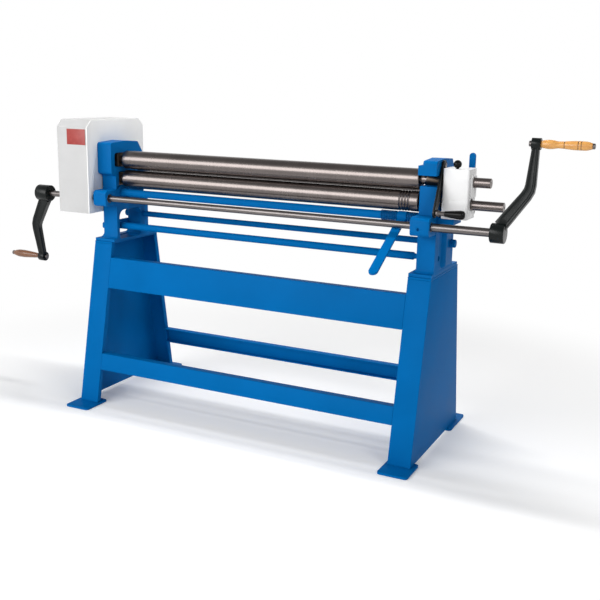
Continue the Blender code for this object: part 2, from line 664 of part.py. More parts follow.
def lower_block_pocket():
    """Opening for a lower bearing block and the eccentric under it."""
    top = LOWER_ROLL_Z + BLOCK_HEIGHT / 2 + BLOCK_RISE_ROOM
    bottom = CLAMP_SHAFT_Z - CAM_RADIUS - SIDE_CLEARANCE
    middle = LOWER_ROLL_Z - BLOCK_HEIGHT / 2 - 0.004
    return [
        (CAM_POCKET_FRONT, bottom), (CAM_POCKET_REAR, bottom), (CAM_POCKET_REAR, middle),
        (BLOCK_POCKET_HALF, middle), (BLOCK_POCKET_HALF, top), (-BLOCK_POCKET_HALF, top),
        (-BLOCK_POCKET_HALF, middle), (CAM_POCKET_FRONT, middle),
    ]


def boss_outline():
    """Side view of the round-nosed boss that carries the front shaft."""
    low = SHAFT_Z - BOSS_HEIGHT / 2
    high = SHAFT_Z + BOSS_HEIGHT / 2
    return rounded([(BOSS_FRONT, low, 0.016), (NECK_FRONT + 0.015, low, 0),
                    (NECK_FRONT + 0.015, high, 0), (BOSS_FRONT, high, 0.016)])


def cast_foot(piece, face, edge, posts):
    """Widens a foot from its face to the edge of the stand's top plate, with a round cove at each post."""
    out = 1 if edge > face else -1
    reach = abs(edge - face)
    inside = face - out * 0.002
    top = FRAME_BASE + BASE_FLANGE
    rise = min(reach, LOWER_TIE_Z - STRAP_HEIGHT / 2 - SIDE_CLEARANCE - top)
    low, high = sorted((inside, edge))
    join(piece, box((low, STAND_FRONT_TOP + 0.005, FRAME_BASE), (high, STAND_REAR_TOP - 0.010, top)), "foot")
    cove = [(inside, top - 0.002), (inside, top + rise)]
    for i in range(7):
        turn = pi / 2 * i / 6
        cove.append((face + out * reach * (1 - cos(turn)), top + rise * (1 - sin(turn))))
    cove[-1] = (edge - out * 0.001, top)
    cove.append((edge - out * 0.001, top - 0.002))
    for number, (front, rear) in enumerate(posts):
        join(piece, plate([cove], front + 0.001, rear - 0.001, "y"), f"cove_{number}")


def side_rib():
    """Upright round rib on the outside of the right casting, domed at both ends."""
    points = []
    for i in range(5):
        turn = pi / 2 * i / 4
        points.append((SIDE_RIB_BOTTOM + 0.014 * (1 - cos(turn)), SIDE_RIB_RADIUS * sin(turn)))
    for i in range(5):
        turn = pi / 2 * i / 4
        points.append((SIDE_RIB_TOP - 0.014 * (1 - sin(turn)), SIDE_RIB_RADIUS * cos(turn)))
    shape = turned(points, (0.0, 0.0), SMALL_SIDES)
    bmesh.ops.rotate(shape, verts=shape.verts, cent=(0, 0, 0), matrix=Matrix.Rotation(-pi / 2, 3, "Y"))
    bmesh.ops.translate(shape, verts=shape.verts, vec=(RIGHT_OUTER - SIDE_RIB_SINK, SIDE_RIB_Y, 0.0))
    return shape


def make_left_frame():
    """Left end frame: closed head, since the top roll only swivels here."""
    wall_bore = JOURNAL_BORE + 0.003
    loops = [
        frame_outline(jaw=False),
        window(WINDOW_FRONT, WINDOW_REAR, WINDOW_BOTTOM, WINDOW_TOP, WINDOW_CORNER),
        circle((0.0, TOP_ROLL_HEIGHT), wall_bore + 0.004, SHAFT_SIDES),
        slot_hole((0.0, LOWER_ROLL_Z), wall_bore, BLOCK_RISE_ROOM, 10),
        circle((CLAMP_SHAFT_Y, CLAMP_SHAFT_Z), CLAMP_BORE, SHAFT_SIDES),
        circle((PIVOT_Y, PIVOT_Z), PIVOT_BORE, SHAFT_SIDES),
        circle((REAR_TIE_Y, REAR_TIE_Z), TIE_BORE, SHAFT_SIDES),
    ]
    piece = finish("left_end_frame", plate(loops, LEFT_OUTER, LEFT_INNER), BLUE)
    join(piece, plate([boss_outline()], LEFT_OUTER + LEFT_BOSS_INSET, LEFT_INNER + 0.006), "boss")
    hole = circle((SHAFT_Y, SHAFT_Z), bore(BUSH_OUTER), SHAFT_SIDES)
    cut(piece, plate([hole], LEFT_OUTER - 0.01, LEFT_INNER + 0.02), "shaft_hole")
    stud = circle((IDLER_Y, IDLER_Z), bore(IDLER_STUD_DIAMETER / 2), SHAFT_SIDES)
    cut(piece, plate([stud], LEFT_OUTER - 0.01, LEFT_OUTER + STUD_DEPTH + SEAT_GAP), "stud_hole")
    cast_foot(piece, LEFT_OUTER, -STAND_HALF_LENGTH, [(NECK_FRONT, WINDOW_FRONT), (WINDOW_REAR, FRAME_REAR)])
    inside = LEFT_INNER + 0.01
    cut(piece, plate([lower_block_pocket()], LEFT_INNER - BODY_POCKET, inside), "block_pocket")
    half = TOP_BLOCK_HALF + SEAT_GAP
    chamfer = 0.008
    seat = [
        (-half - 0.026, TOP_ROLL_HEIGHT - half + chamfer), (-half - 0.018, TOP_ROLL_HEIGHT - half),
        (half, TOP_ROLL_HEIGHT - half), (half, TOP_ROLL_HEIGHT + half),
        (-half - 0.018, TOP_ROLL_HEIGHT + half), (-half - 0.026, TOP_ROLL_HEIGHT + half - chamfer),
    ]
    cut(piece, plate([seat], LEFT_INNER - BODY_POCKET, inside), "top_block_pocket")
    reach = hypot(PIVOT_Y - REAR_ROLL_Y, REAR_ROLL_Z - PIVOT_Z) + SWING_ARM_END_RADIUS + SIDE_CLEARANCE
    recess = SWING_ARM_THICKNESS + 2 * SIDE_CLEARANCE
    swing = [(PIVOT_Y + reach * cos(turn), PIVOT_Z + reach * sin(turn))
             for turn in [radians(90 + 12 * i) for i in range(10)]]
    outline = [(FRAME_REAR + 0.02, PIVOT_Z + reach)] + swing
    outline.append((outline[-1][0], PIVOT_Z - 0.036))
    outline.append((FRAME_REAR + 0.02, PIVOT_Z - 0.036))
    cut(piece, plate([outline], LEFT_INNER - recess, inside), "arm_recess")
    return piece


def make_right_frame():
    """Right end frame: its jaw is open, so that the top roll can be swung out to the front."""
    wall_bore = JOURNAL_BORE + 0.003
    loops = [
        frame_outline(jaw=True),
        slot_hole((0.0, LOWER_ROLL_Z), wall_bore, BLOCK_RISE_ROOM, 10),
        circle((CLAMP_SHAFT_Y, CLAMP_SHAFT_Z), CLAMP_BORE, SHAFT_SIDES),
        circle((PIVOT_Y, PIVOT_Z), PIVOT_BORE, SHAFT_SIDES),
        circle((REAR_TIE_Y, REAR_TIE_Z), TIE_BORE, SHAFT_SIDES),
        circle((0.0, LOWER_TIE_Z), bore(LOWER_TIE_NECK_DIAMETER / 2), SHAFT_SIDES),
        circle((LOCK_PIVOT_Y, LOCK_PIVOT_Z), LOCK_PIN_RADIUS + SEAT_GAP, SMALL_SIDES),
    ]
    piece = finish("right_end_frame", plate(loops, RIGHT_INNER, RIGHT_OUTER), BLUE)
    join(piece, plate([boss_outline()], RIGHT_INNER - 0.003, RIGHT_OUTER - 0.001), "boss")
    join(piece, side_rib(), "side_rib")
    cast_foot(piece, RIGHT_INNER, STAND_HALF_LENGTH - FLANGE_WIDTH, [(NECK_FRONT, FRAME_REAR)])
    oil_hole = circle((OIL_HOLE_X, OIL_HOLE_Z), OIL_HOLE_DIAMETER / 2, SMALL_SIDES)
    cut(piece, plate([oil_hole], BOSS_FRONT - 0.01, BOSS_FRONT + 0.007, "y"), "oil_hole")
    hole = circle((SHAFT_Y, SHAFT_Z), bore(BUSH_OUTER), SHAFT_SIDES)
    cut(piece, plate([hole], RIGHT_INNER - 0.02, RIGHT_OUTER + 0.01), "shaft_hole")
    inside = RIGHT_INNER - 0.01
    cut(piece, plate([lower_block_pocket()], inside, RIGHT_OUTER - FRAME_WALL), "block_pocket")
    step = [(HEAD_FRONT - 0.02, TOP_ROLL_HEIGHT + JAW_HEIGHT / 2 + JAW_LUG_HEIGHT),
            (FRAME_REAR + 0.02, TOP_ROLL_HEIGHT + JAW_HEIGHT / 2 + JAW_LUG_HEIGHT),
            (FRAME_REAR + 0.02, HEAD_TOP + 0.02), (HEAD_FRONT - 0.02, HEAD_TOP + 0.02)]
    cut(piece, plate([step], inside, RIGHT_INNER + 0.017), "head_step")
    return piece


make_left_frame()
make_right_frame()


def make_bush(name, low, high, centre, inner, outer, sides=SHAFT_SIDES):
    """A plain bush."""
    profile = [(low, inner), (high, inner), (high, outer), (low, outer)]
    finish(name, turned(profile, centre, sides, closed=True), BRONZE, at=(low, *centre))


SHAFT_BORE = bore(SHAFT_RADIUS)
make_bush("left_shaft_bush", LEFT_OUTER + LEFT_BOSS_INSET, LEFT_INNER + 0.006, (SHAFT_Y, SHAFT_Z),
          SHAFT_BORE, BUSH_OUTER)
make_bush("right_shaft_bush", RIGHT_INNER - 0.003, RIGHT_OUTER - 0.001, (SHAFT_Y, SHAFT_Z),
          SHAFT_BORE, BUSH_OUTER)
make_bush("top_roll_bush", RIGHT_INNER + 0.012, RIGHT_OUTER - 0.008, (0.0, TOP_ROLL_HEIGHT),
          JOURNAL_BORE, JAW_HEIGHT / 2 - SEAT_GAP)


def make_block(name, low, high, z, half_width, half_height):
    """A bearing block with its bore."""
    corner = 0.004
    outline = rounded([(-half_width, z - half_height, corner), (half_width, z - half_height, corner),
                       (half_width, z + half_height, corner), (-half_width, z + half_height, corner)], 2)
    loops = [outline, circle((0.0, z), JOURNAL_BORE, SHAFT_SIDES)]
    finish(name, plate(loops, low, high), BRONZE, at=(low, 0.0, z))


block_left_low = LEFT_INNER - SIDE_CLEARANCE - BLOCK_LENGTH
block_right_low = RIGHT_INNER + SIDE_CLEARANCE
half_block = BLOCK_WIDTH / 2
make_block("top_roll_block", block_left_low, block_left_low + BLOCK_LENGTH, TOP_ROLL_HEIGHT,
           TOP_BLOCK_HALF, TOP_BLOCK_HALF)
make_block("lower_left_block", block_left_low, block_left_low + BLOCK_LENGTH, LOWER_ROLL_Z,
           half_block, BLOCK_HEIGHT / 2)
make_block("lower_right_block", block_right_low, block_right_low + BLOCK_LENGTH, LOWER_ROLL_Z,
           half_block, BLOCK_HEIGHT / 2)


# Tie rods

def make_rear_tie():
    """Rear tie rod: shouldered against both frames and nutted outside them."""
    full = REAR_TIE_DIAMETER / 2
    thin = TIE_END_DIAMETER / 2
    nut = TIE_NUT_RADIUS
    left = LEFT_OUTER - SEAT_GAP
    right = RIGHT_OUTER + SEAT_GAP
    profile = [
        (left - TIE_NUT_LENGTH, 0), (left - TIE_NUT_LENGTH, nut - 0.002),
        (left - TIE_NUT_LENGTH + 0.002, nut),
        (left, nut), (left, thin), (LEFT_INNER + SEAT_GAP, thin), (LEFT_INNER + SEAT_GAP, full),
        (RIGHT_INNER - SEAT_GAP, full), (RIGHT_INNER - SEAT_GAP, thin), (right, thin), (right, nut),
        (right + TIE_NUT_LENGTH - 0.002, nut), (right + TIE_NUT_LENGTH, nut - 0.002),
        (right + TIE_NUT_LENGTH, 0),
    ]
    finish("rear_tie_rod", turned(profile, (REAR_TIE_Y, REAR_TIE_Z), SMALL_SIDES), BLUE,
           at=(0.0, REAR_TIE_Y, REAR_TIE_Z))


def make_lower_tie():
    """Lower tie rod: through the left window to its strap, necked into the right frame."""
    full = LOWER_TIE_DIAMETER / 2
    neck = LOWER_TIE_NECK_DIAMETER / 2
    collar = full + 0.003
    collar_right = RIGHT_INNER - SEAT_GAP
    collar_left = collar_right - 0.008
    left = LEFT_OUTER - SEAT_GAP
    profile = [
        (left - STRAP_THICKNESS, 0), (left - STRAP_THICKNESS, neck), (left + TIE_NECK_INSET, neck),
        (left + TIE_NECK_INSET, full), (collar_left - 0.020, full), (collar_left - 0.014, neck),
        (collar_left, neck), (collar_left, collar), (collar_right, collar), (collar_right, neck),
        (RIGHT_OUTER - 0.040, neck),
        (RIGHT_OUTER - 0.040, 0),
    ]
    finish("lower_tie_rod", turned(profile, (0.0, LOWER_TIE_Z), SMALL_SIDES), BLUE,
           at=(0.0, 0.0, LOWER_TIE_Z))


def make_strap():
    """The strap across the left frame's window that holds the lower tie rod's end."""
    front = WINDOW_FRONT - STRAP_OVERLAP
    rear = WINDOW_REAR + STRAP_OVERLAP
    low = LOWER_TIE_Z - STRAP_HEIGHT / 2
    high = LOWER_TIE_Z + STRAP_HEIGHT / 2
    outline = rounded([(front, low, 0.006), (rear, low, 0.006), (rear, high, 0.006), (front, high, 0.006)], 3)
    hole = circle((0.0, LOWER_TIE_Z), bore(LOWER_TIE_NECK_DIAMETER / 2), SHAFT_SIDES)
    boss = circle((0.0, LOWER_TIE_Z), STRAP_BOSS_RADIUS, SHAFT_SIDES)
    right = LEFT_OUTER - SEAT_GAP
    left = right - STRAP_THICKNESS
    piece = finish("tie_rod_strap", plate([outline], left, right), BLUE)
    join(piece, plate([boss], left, right), "boss")
    cut(piece, plate([hole], left - 0.01, right + 0.01), "rod_hole")


make_rear_tie()
make_lower_tie()
make_strap()


# Gears

def tooth_gear(teeth, module, tooth_angle, bore_radius):
    """Outline of a spur gear with one tooth's middle at tooth_angle, and its bore.

    Each flank is an involute of the base circle, met by the root circle below it.
    """
    pitch = module * teeth / 2
    base = pitch * cos(radians(20))
    tip = pitch + 0.85 * module
    root = pitch - 1.15 * module
    half_pitch_angle = (pi * module / 2 - GEAR_BACKLASH / 2) / pitch / 2

    def involute(radius):
        ratio = max(radius / base, 1.0)
        turn = sqrt(ratio * ratio - 1)
        return turn - atan2(turn, 1)

    flank = [root, pitch, tip]
    outline = []
    for i in range(teeth):
        middle = tooth_angle + 2 * pi * i / teeth
        offsets = [half_pitch_angle + involute(pitch) - involute(radius) for radius in flank]
        for radius, offset in zip(flank, offsets):
            outline.append((radius * cos(middle - offset), radius * sin(middle - offset)))
        for radius, offset in reversed(list(zip(flank, offsets))):
            outline.append((radius * cos(middle + offset), radius * sin(middle + offset)))
    return outline, circle((0.0, 0.0), bore_radius, SHAFT_SIDES)


def make_gear(name, teeth, tooth_angle, centre, bore_radius, low, high, module=GEAR_MODULE):
    """A plain spur gear."""
    outline, hole = tooth_gear(teeth, module, tooth_angle, bore_radius)
    loops = [[(y + centre[0], z + centre[1]) for y, z in loop] for loop in (outline, hole)]
    return finish(name, plate(loops, low, high), GEAR_STEEL, at=(low, *centre))


axis_top = (0.0, TOP_ROLL_HEIGHT)
axis_low = (0.0, LOWER_ROLL_Z)
axis_idler = (IDLER_Y, IDLER_Z)
axis_shaft = (SHAFT_Y, SHAFT_Z)
roll_to_idler = atan2(IDLER_Z - TOP_ROLL_HEIGHT, IDLER_Y)
idler_to_shaft = atan2(SHAFT_Z - IDLER_Z, SHAFT_Y - IDLER_Y)
idler_tooth = roll_to_idler + pi + pi / IDLER_TEETH
pinion_tooth = idler_to_shaft + pi + (pi - (idler_tooth - idler_to_shaft) * IDLER_TEETH) / PINION_TEETH
make_gear("main_gear", MAIN_GEAR_TEETH, roll_to_idler, axis_top, JOURNAL_BORE, MAIN_GEAR_LEFT,
          MAIN_GEAR_RIGHT)
make_gear("idler_gear", IDLER_TEETH, idler_tooth, axis_idler, bore(IDLER_STUD_DIAMETER / 2),
          MAIN_GEAR_LEFT, MAIN_GEAR_RIGHT)
make_gear("drive_pinion", PINION_TEETH, pinion_tooth, axis_shaft, SHAFT_BORE, MAIN_GEAR_LEFT, MAIN_GEAR_RIGHT)
make_gear("top_roll_gear", ROLL_GEAR_TEETH, -pi / 2, axis_top, JOURNAL_BORE, ROLL_GEAR_LEFT,
          ROLL_GEAR_RIGHT, ROLL_GEAR_MODULE)
make_gear("lower_roll_gear", ROLL_GEAR_TEETH, pi / 2 + pi / ROLL_GEAR_TEETH, axis_low, JOURNAL_BORE,
          ROLL_GEAR_LEFT, ROLL_GEAR_RIGHT, ROLL_GEAR_MODULE)


def make_idler_stud():
    """The headed stud, through the back plate into the end frame, on which the idler turns."""
    radius = IDLER_STUD_DIAMETER / 2
    head = radius + 0.005
    head_right = MAIN_GEAR_LEFT - SIDE_CLEARANCE
    shoulder = radius + 0.006
    profile = [
        (head_right - 0.006, 0), (head_right - 0.006, head), (head_right, head), (head_right, radius),
        (MAIN_GEAR_RIGHT + SIDE_CLEARANCE, radius), (MAIN_GEAR_RIGHT + SIDE_CLEARANCE, shoulder),
        (PLATE_LEFT - SEAT_GAP, shoulder), (PLATE_LEFT - SEAT_GAP, radius),
        (LEFT_OUTER + STUD_DEPTH, radius), (LEFT_OUTER + STUD_DEPTH, 0),
    ]
    finish("idler_stud", turned(profile, axis_idler, SMALL_SIDES), STEEL, at=(PLATE_LEFT, *axis_idler))


make_idler_stud()


# Gear cover

def cover_outline(inset):
    """Side view of the gear cover, drawn in by inset on every side."""
    cut_in = COVER_CHAMFER
    slack = inset * tan(pi / 8)
    return rounded([
        (COVER_FRONT + inset, COVER_BOTTOM + inset, 0), (COVER_REAR - inset, COVER_BOTTOM + inset, 0),
        (COVER_REAR - inset, COVER_TOP - cut_in - slack, 0),
        (COVER_REAR - cut_in - slack, COVER_TOP - inset, 0),
        (COVER_FRONT + cut_in + slack, COVER_TOP - inset, 0),
        (COVER_FRONT + inset, COVER_TOP - cut_in - slack, 0),
    ], 6)


def make_cover():
    """Folded and welded sheet cover, open to the back plate, with the shaft's hole in its left side."""
    piece = finish("gear_cover", plate([cover_outline(0.0)], COVER_LEFT, COVER_RIGHT), WHITE)
    hollow = plate([cover_outline(COVER_SHEET)], COVER_LEFT + COVER_SHEET, COVER_RIGHT + 0.01)
    cut(piece, hollow, "hollow")
    hole = circle(axis_shaft, SHAFT_RADIUS + 0.004, SHAFT_SIDES)
    cut(piece, plate([hole], COVER_LEFT - 0.01, COVER_LEFT + 0.01), "shaft_hole")


def make_back_plate():
    """Back plate of the gear case, screwed to the left end frame; it carries the idler's stud."""
    wall_bore = JOURNAL_BORE + 0.003
    loops = [
        cover_outline(0.0),
        circle(axis_top, wall_bore, SHAFT_SIDES),
        slot_hole(axis_low, wall_bore, BLOCK_RISE_ROOM, 10),
        circle(axis_shaft, SHAFT_RADIUS + 0.004, SHAFT_SIDES),
        circle(axis_idler, bore(IDLER_STUD_DIAMETER / 2), SHAFT_SIDES),
        circle((CLAMP_SHAFT_Y, CLAMP_SHAFT_Z), CLAMP_BORE, SHAFT_SIDES),
        circle((PIVOT_Y, PIVOT_Z), PIVOT_BORE, SHAFT_SIDES),
    ]
    piece = finish("gear_case_back", plate(loops, PLATE_LEFT, PLATE_RIGHT), WHITE)
    step = rounded([
        (PLATE_STRIP_REAR, COVER_BOTTOM - 0.01, 0), (COVER_REAR + 0.01, COVER_BOTTOM - 0.01, 0),
        (COVER_REAR + 0.01, PLATE_STEP_HEIGHT, 0), (PLATE_STRIP_REAR, PLATE_STEP_HEIGHT, 0.016)])
    cut(piece, plate([step], PLATE_RIGHT - PLATE_STEP, PLATE_RIGHT + 0.01), "lower_step")


def make_blank_plate():
    """A bare rating plate on the cover's front."""
    right = COVER_RIGHT - BLANK_PLATE_INSET
    shape = box((right - BLANK_PLATE_WIDTH, COVER_FRONT - SEAT_GAP - BLANK_PLATE_THICKNESS,
                 BLANK_PLATE_TOP - BLANK_PLATE_HEIGHT), (right, COVER_FRONT - SEAT_GAP, BLANK_PLATE_TOP))
    finish("cover_blank_plate", shape, RED)


make_cover()
make_back_plate()
make_blank_plate()


# Rolls

def barrel(start, end, grooves):
    """Outline of a roll's barrel from left to right, with wire grooves at its right end."""
    radius = ROLL_RADIUS
    points = [(start, radius - ROLL_CHAMFER), (start + ROLL_CHAMFER, radius)]
    half = WIRE_GROOVE_PITCH * 0.36
    for i in reversed(range(grooves)):
        middle = end - WIRE_GROOVE_FIRST - i * WIRE_GROOVE_PITCH
        points += [(middle - half, radius), (middle, radius - WIRE_GROOVE_DEPTH), (middle + half, radius)]
    points += [(end - ROLL_CHAMFER, radius), (end, radius - ROLL_CHAMFER)]
    return points


def make_roll(name, centre, left_end, right_end, journal, grooves):
    """A roll turned from one bar: left journal, barrel, right journal and its extension."""
    barrel_left = PINCH_SHIFT - BARREL_END
    barrel_right = PINCH_SHIFT + BARREL_END
    profile = [(left_end, 0), (left_end, journal - 0.0015), (left_end + 0.0015, journal),
               (barrel_left, journal)]
    profile += barrel(barrel_left, barrel_right, grooves)
    profile += [(barrel_right, journal), (right_end - 0.0015, journal), (right_end, journal - 0.0015),
                (right_end, 0)]
    finish(name, turned(profile, centre, ROLL_SIDES), STEEL, at=(0.0, *centre))


make_roll("top_roll", axis_top, MAIN_GEAR_LEFT - 0.014, UPPER_EXTENSION_END, JOURNAL_RADIUS, 0)
make_roll("lower_roll", axis_low, ROLL_GEAR_LEFT - 0.008, LOWER_EXTENSION_END, JOURNAL_RADIUS,
          WIRE_GROOVE_COUNT)


def make_rear_roll():
    """Rear bending roll: short journals that end inside the swing arms."""
    journal = REAR_JOURNAL_DIAMETER / 2
    left_end = LEFT_INNER - SIDE_CLEARANCE - SWING_ARM_THICKNESS
    right_end = BARREL_END + 2 * SIDE_CLEARANCE + SWING_ARM_THICKNESS
    barrel_left = PINCH_SHIFT - BARREL_END
    profile = [(left_end, 0), (left_end, journal), (barrel_left, journal)]
    profile += barrel(barrel_left, BARREL_END, WIRE_GROOVE_COUNT)
    profile += [(BARREL_END, journal), (right_end, journal), (right_end, 0)]
    finish("rear_roll", turned(profile, (REAR_ROLL_Y, REAR_ROLL_Z), ROLL_SIDES), STEEL,
           at=(0.0, REAR_ROLL_Y, REAR_ROLL_Z))


make_rear_roll()


# Rear roll's swing arms, pivot shaft and hand lever

def tangent_link(first, first_radius, second, second_radius, steps):
    """Outline of two round ends joined by their outer tangents."""
    run = Vector(second) - Vector(first)
    along = atan2(run.y, run.x)
    lean = acos((first_radius - second_radius) / run.length)
    points = []
    for i in range(steps + 1):
        turn = along + lean + (2 * pi - 2 * lean) * i / steps
        points.append((first[0] + first_radius * cos(turn), first[1] + first_radius * sin(turn)))
    for i in range(steps + 1):
        turn = along - lean + 2 * lean * i / steps
        points.append((second[0] + second_radius * cos(turn), second[1] + second_radius * sin(turn)))
    return points


pivot = (PIVOT_Y, PIVOT_Z)
rear_axis = (REAR_ROLL_Y, REAR_ROLL_Z)


def make_swing_arm(name, low):
    """An arm keyed to the pivot shaft, with the rear roll's journal in its other end."""
    loops = [tangent_link(pivot, PIVOT_DIAMETER / 2 + 0.009, rear_axis, SWING_ARM_END_RADIUS, 12),
             circle(pivot, PIVOT_BORE, SHAFT_SIDES),
             circle(rear_axis, bore(REAR_JOURNAL_DIAMETER / 2), SHAFT_SIDES)]
    finish(name, plate(loops, low, low + SWING_ARM_THICKNESS), BLUE, at=(low, *pivot))


def make_pivot_shaft():
    """Shaft of the swing arms, from the left end frame to the lever outside the right one."""
    radius = PIVOT_DIAMETER / 2
    left = LEFT_OUTER + 0.002
    right = REAR_LEVER_X + REAR_LEVER_WIDTH / 2 + 0.006
    profile = [(left, 0), (left, radius), (right - 0.001, radius), (right, radius - 0.001), (right, 0)]
    finish("rear_pivot_shaft", turned(profile, pivot, SHAFT_SIDES), STEEL, at=(0.0, *pivot))


def make_rear_lever():
    """Flat blue hand lever with a round top and a welded hub, upright at rest."""
    low = REAR_LEVER_X - REAR_LEVER_WIDTH / 2
    high = REAR_LEVER_X + REAR_LEVER_WIDTH / 2
    hub = [circle(pivot, REAR_HUB_RADIUS, SHAFT_SIDES), circle(pivot, PIVOT_BORE, SHAFT_SIDES)]
    piece = finish("rear_lever", plate(hub, low, high), BLUE, at=(low, *pivot))
    foot = PIVOT_Z + PIVOT_DIAMETER / 2 + 0.003
    half = REAR_LEVER_WIDTH / 2 - 0.0006
    outline = [(REAR_LEVER_X - half, foot), (REAR_LEVER_X + half, foot)]
    for i in range(13):
        turn = pi * i / 12
        outline.append((REAR_LEVER_X + half * cos(turn), REAR_LEVER_TOP - half + half * sin(turn)))
    thick = REAR_LEVER_THICKNESS / 2
    join(piece, plate([outline], PIVOT_Y - thick, PIVOT_Y + thick, "y"), "blade")


make_swing_arm("left_swing_arm", LEFT_INNER - SIDE_CLEARANCE - SWING_ARM_THICKNESS)
make_swing_arm("right_swing_arm", BARREL_END + SIDE_CLEARANCE)
make_pivot_shaft()
make_rear_lever()


# Clamp shaft, lever and springs

def make_clamp_shaft():
    """Cross shaft with an eccentric turned on it under each lower bearing block."""
    radius = CLAMP_SHAFT_DIAMETER / 2
    axis = (CLAMP_SHAFT_Y, CLAMP_SHAFT_Z)
    left = LEFT_OUTER + 0.002
    right = RIGHT_OUTER - 0.002
    profile = [(left, 0), (left, radius), (right, radius), (right, 0)]
    piece = finish("clamp_shaft", turned(profile, axis, SHAFT_SIDES), BLUE, at=(0.0, *axis))
    cam_axis = (CLAMP_SHAFT_Y + CAM_THROW, CLAMP_SHAFT_Z)
    for name, low in (("left_cam", block_left_low), ("right_cam", block_right_low)):
        disc = circle(cam_axis, CAM_RADIUS, SHAFT_SIDES + 8, pi / 2)
        join(piece, plate([disc], low + 0.002, low + BLOCK_LENGTH - 0.002), name)


def make_clamp_lever():
    """Flat blue hand lever that reaches forward under the front shaft."""
    axis = (CLAMP_SHAFT_Y, CLAMP_SHAFT_Z)
    half = CLAMP_LEVER_WIDTH / 2
    low = CLAMP_LEVER_X - half
    high = CLAMP_LEVER_X + half
    hub = [circle(axis, CLAMP_HUB_RADIUS, SHAFT_SIDES), circle(axis, CLAMP_BORE, SHAFT_SIDES)]
    piece = finish("clamp_lever", plate(hub, low, high), BLUE, at=(low, *axis))
    slope = atan2(CLAMP_LEVER_REACH_Z, CLAMP_LEVER_REACH_Y)
    start = CLAMP_SHAFT_DIAMETER / 2 + 0.003
    inset = half - 0.0006
    outline = [(-inset, start), (inset, start)]
    for i in range(13):
        turn = pi * i / 12
        outline.append((inset * cos(turn), CLAMP_LEVER_LENGTH - inset + inset * sin(turn)))
    thick = CLAMP_LEVER_THICKNESS / 2
    blade = plate([outline], -thick, thick, "y")
    turn = Matrix.Rotation(slope - pi / 2, 4, "X")
    shift = Matrix.Translation((CLAMP_LEVER_X, *axis))
    bmesh.ops.transform(blade, matrix=shift @ turn, verts=blade.verts)
    join(piece, blade, "blade")


def make_spring(name, start, turns):
    """A return spring wound round the clamp shaft, as one tube along a helix.

    A point goes round SPRING_POINTS to a turn and forward one pitch in each turn.
    """
    inner = CLAMP_SHAFT_DIAMETER / 2 + RUNNING_CLEARANCE
    mean = (inner + SPRING_WIRE / 2) / cos(pi / SPRING_POINTS)
    route = []
    for i in range(turns * SPRING_POINTS + 1):
        turn = 2 * pi * i / SPRING_POINTS
        route.append(Vector((start + SPRING_WIRE / 2 + SPRING_PITCH * i / SPRING_POINTS,
                             mean * cos(turn), mean * sin(turn))))
    near = min((a - b).length for i, a in enumerate(route) for b in route[i + SPRING_POINTS - 1:])
    print(f"{name}: least gap between turns {1000 * (near - SPRING_WIRE):.2f} mm")
    line = bpy.data.curves.new(name, "CURVE")
    line.dimensions = "3D"
    line.bevel_depth = SPRING_WIRE / 2
    line.bevel_resolution = 1
    line.use_fill_caps = True
    spline = line.splines.new("POLY")
    spline.points.add(len(route) - 1)
    for point, place in zip(spline.points, route):
        point.co = (*place, 1.0)
    line.materials.append(BLUE_SPRING)
    spring = bpy.data.objects.new(name, line)
    spring.location = (0.0, CLAMP_SHAFT_Y, CLAMP_SHAFT_Z)
    spring.parent = machine
    bpy.context.scene.collection.objects.link(spring)


LEFT_SPRING_LENGTH = LEFT_SPRING_TURNS * SPRING_PITCH + SPRING_WIRE
make_clamp_shaft()
make_clamp_lever()
make_spring("left_clamp_spring", CLAMP_LEVER_X - CLAMP_LEVER_WIDTH / 2 - 0.0012 - LEFT_SPRING_LENGTH,
            LEFT_SPRING_TURNS)
make_spring("right_clamp_spring", CLAMP_LEVER_X + CLAMP_LEVER_WIDTH / 2 + 0.0012, RIGHT_SPRING_TURNS)


# Front shaft, cranks and grips

def make_drive_shaft():
    """Front shaft, thicker outside the right boss; it carries the pinion and both cranks."""
    radius = SHAFT_RADIUS
    wide = SHAFT_OUTER_DIAMETER / 2
    left = LEFT_BOSS_CENTRE - LEFT_BOSS_LENGTH / 2 + 0.002
    step = RIGHT_OUTER + SEAT_GAP
    right = RIGHT_BOSS_CENTRE + RIGHT_BOSS_LENGTH / 2 - 0.002
    profile = [(left, 0), (left, radius), (step, radius), (step, wide), (right, wide), (right, 0)]
    finish("drive_shaft", turned(profile, axis_shaft, SHAFT_SIDES), STEEL, at=(0.0, *axis_shaft))


def arm_frame(angle):
    """Turns a shape drawn upright (z from the shaft) to a crank's angle from upright toward the back."""
    return Matrix.Translation((0.0, *axis_shaft)) @ Matrix.Rotation(-angle, 4, "X")


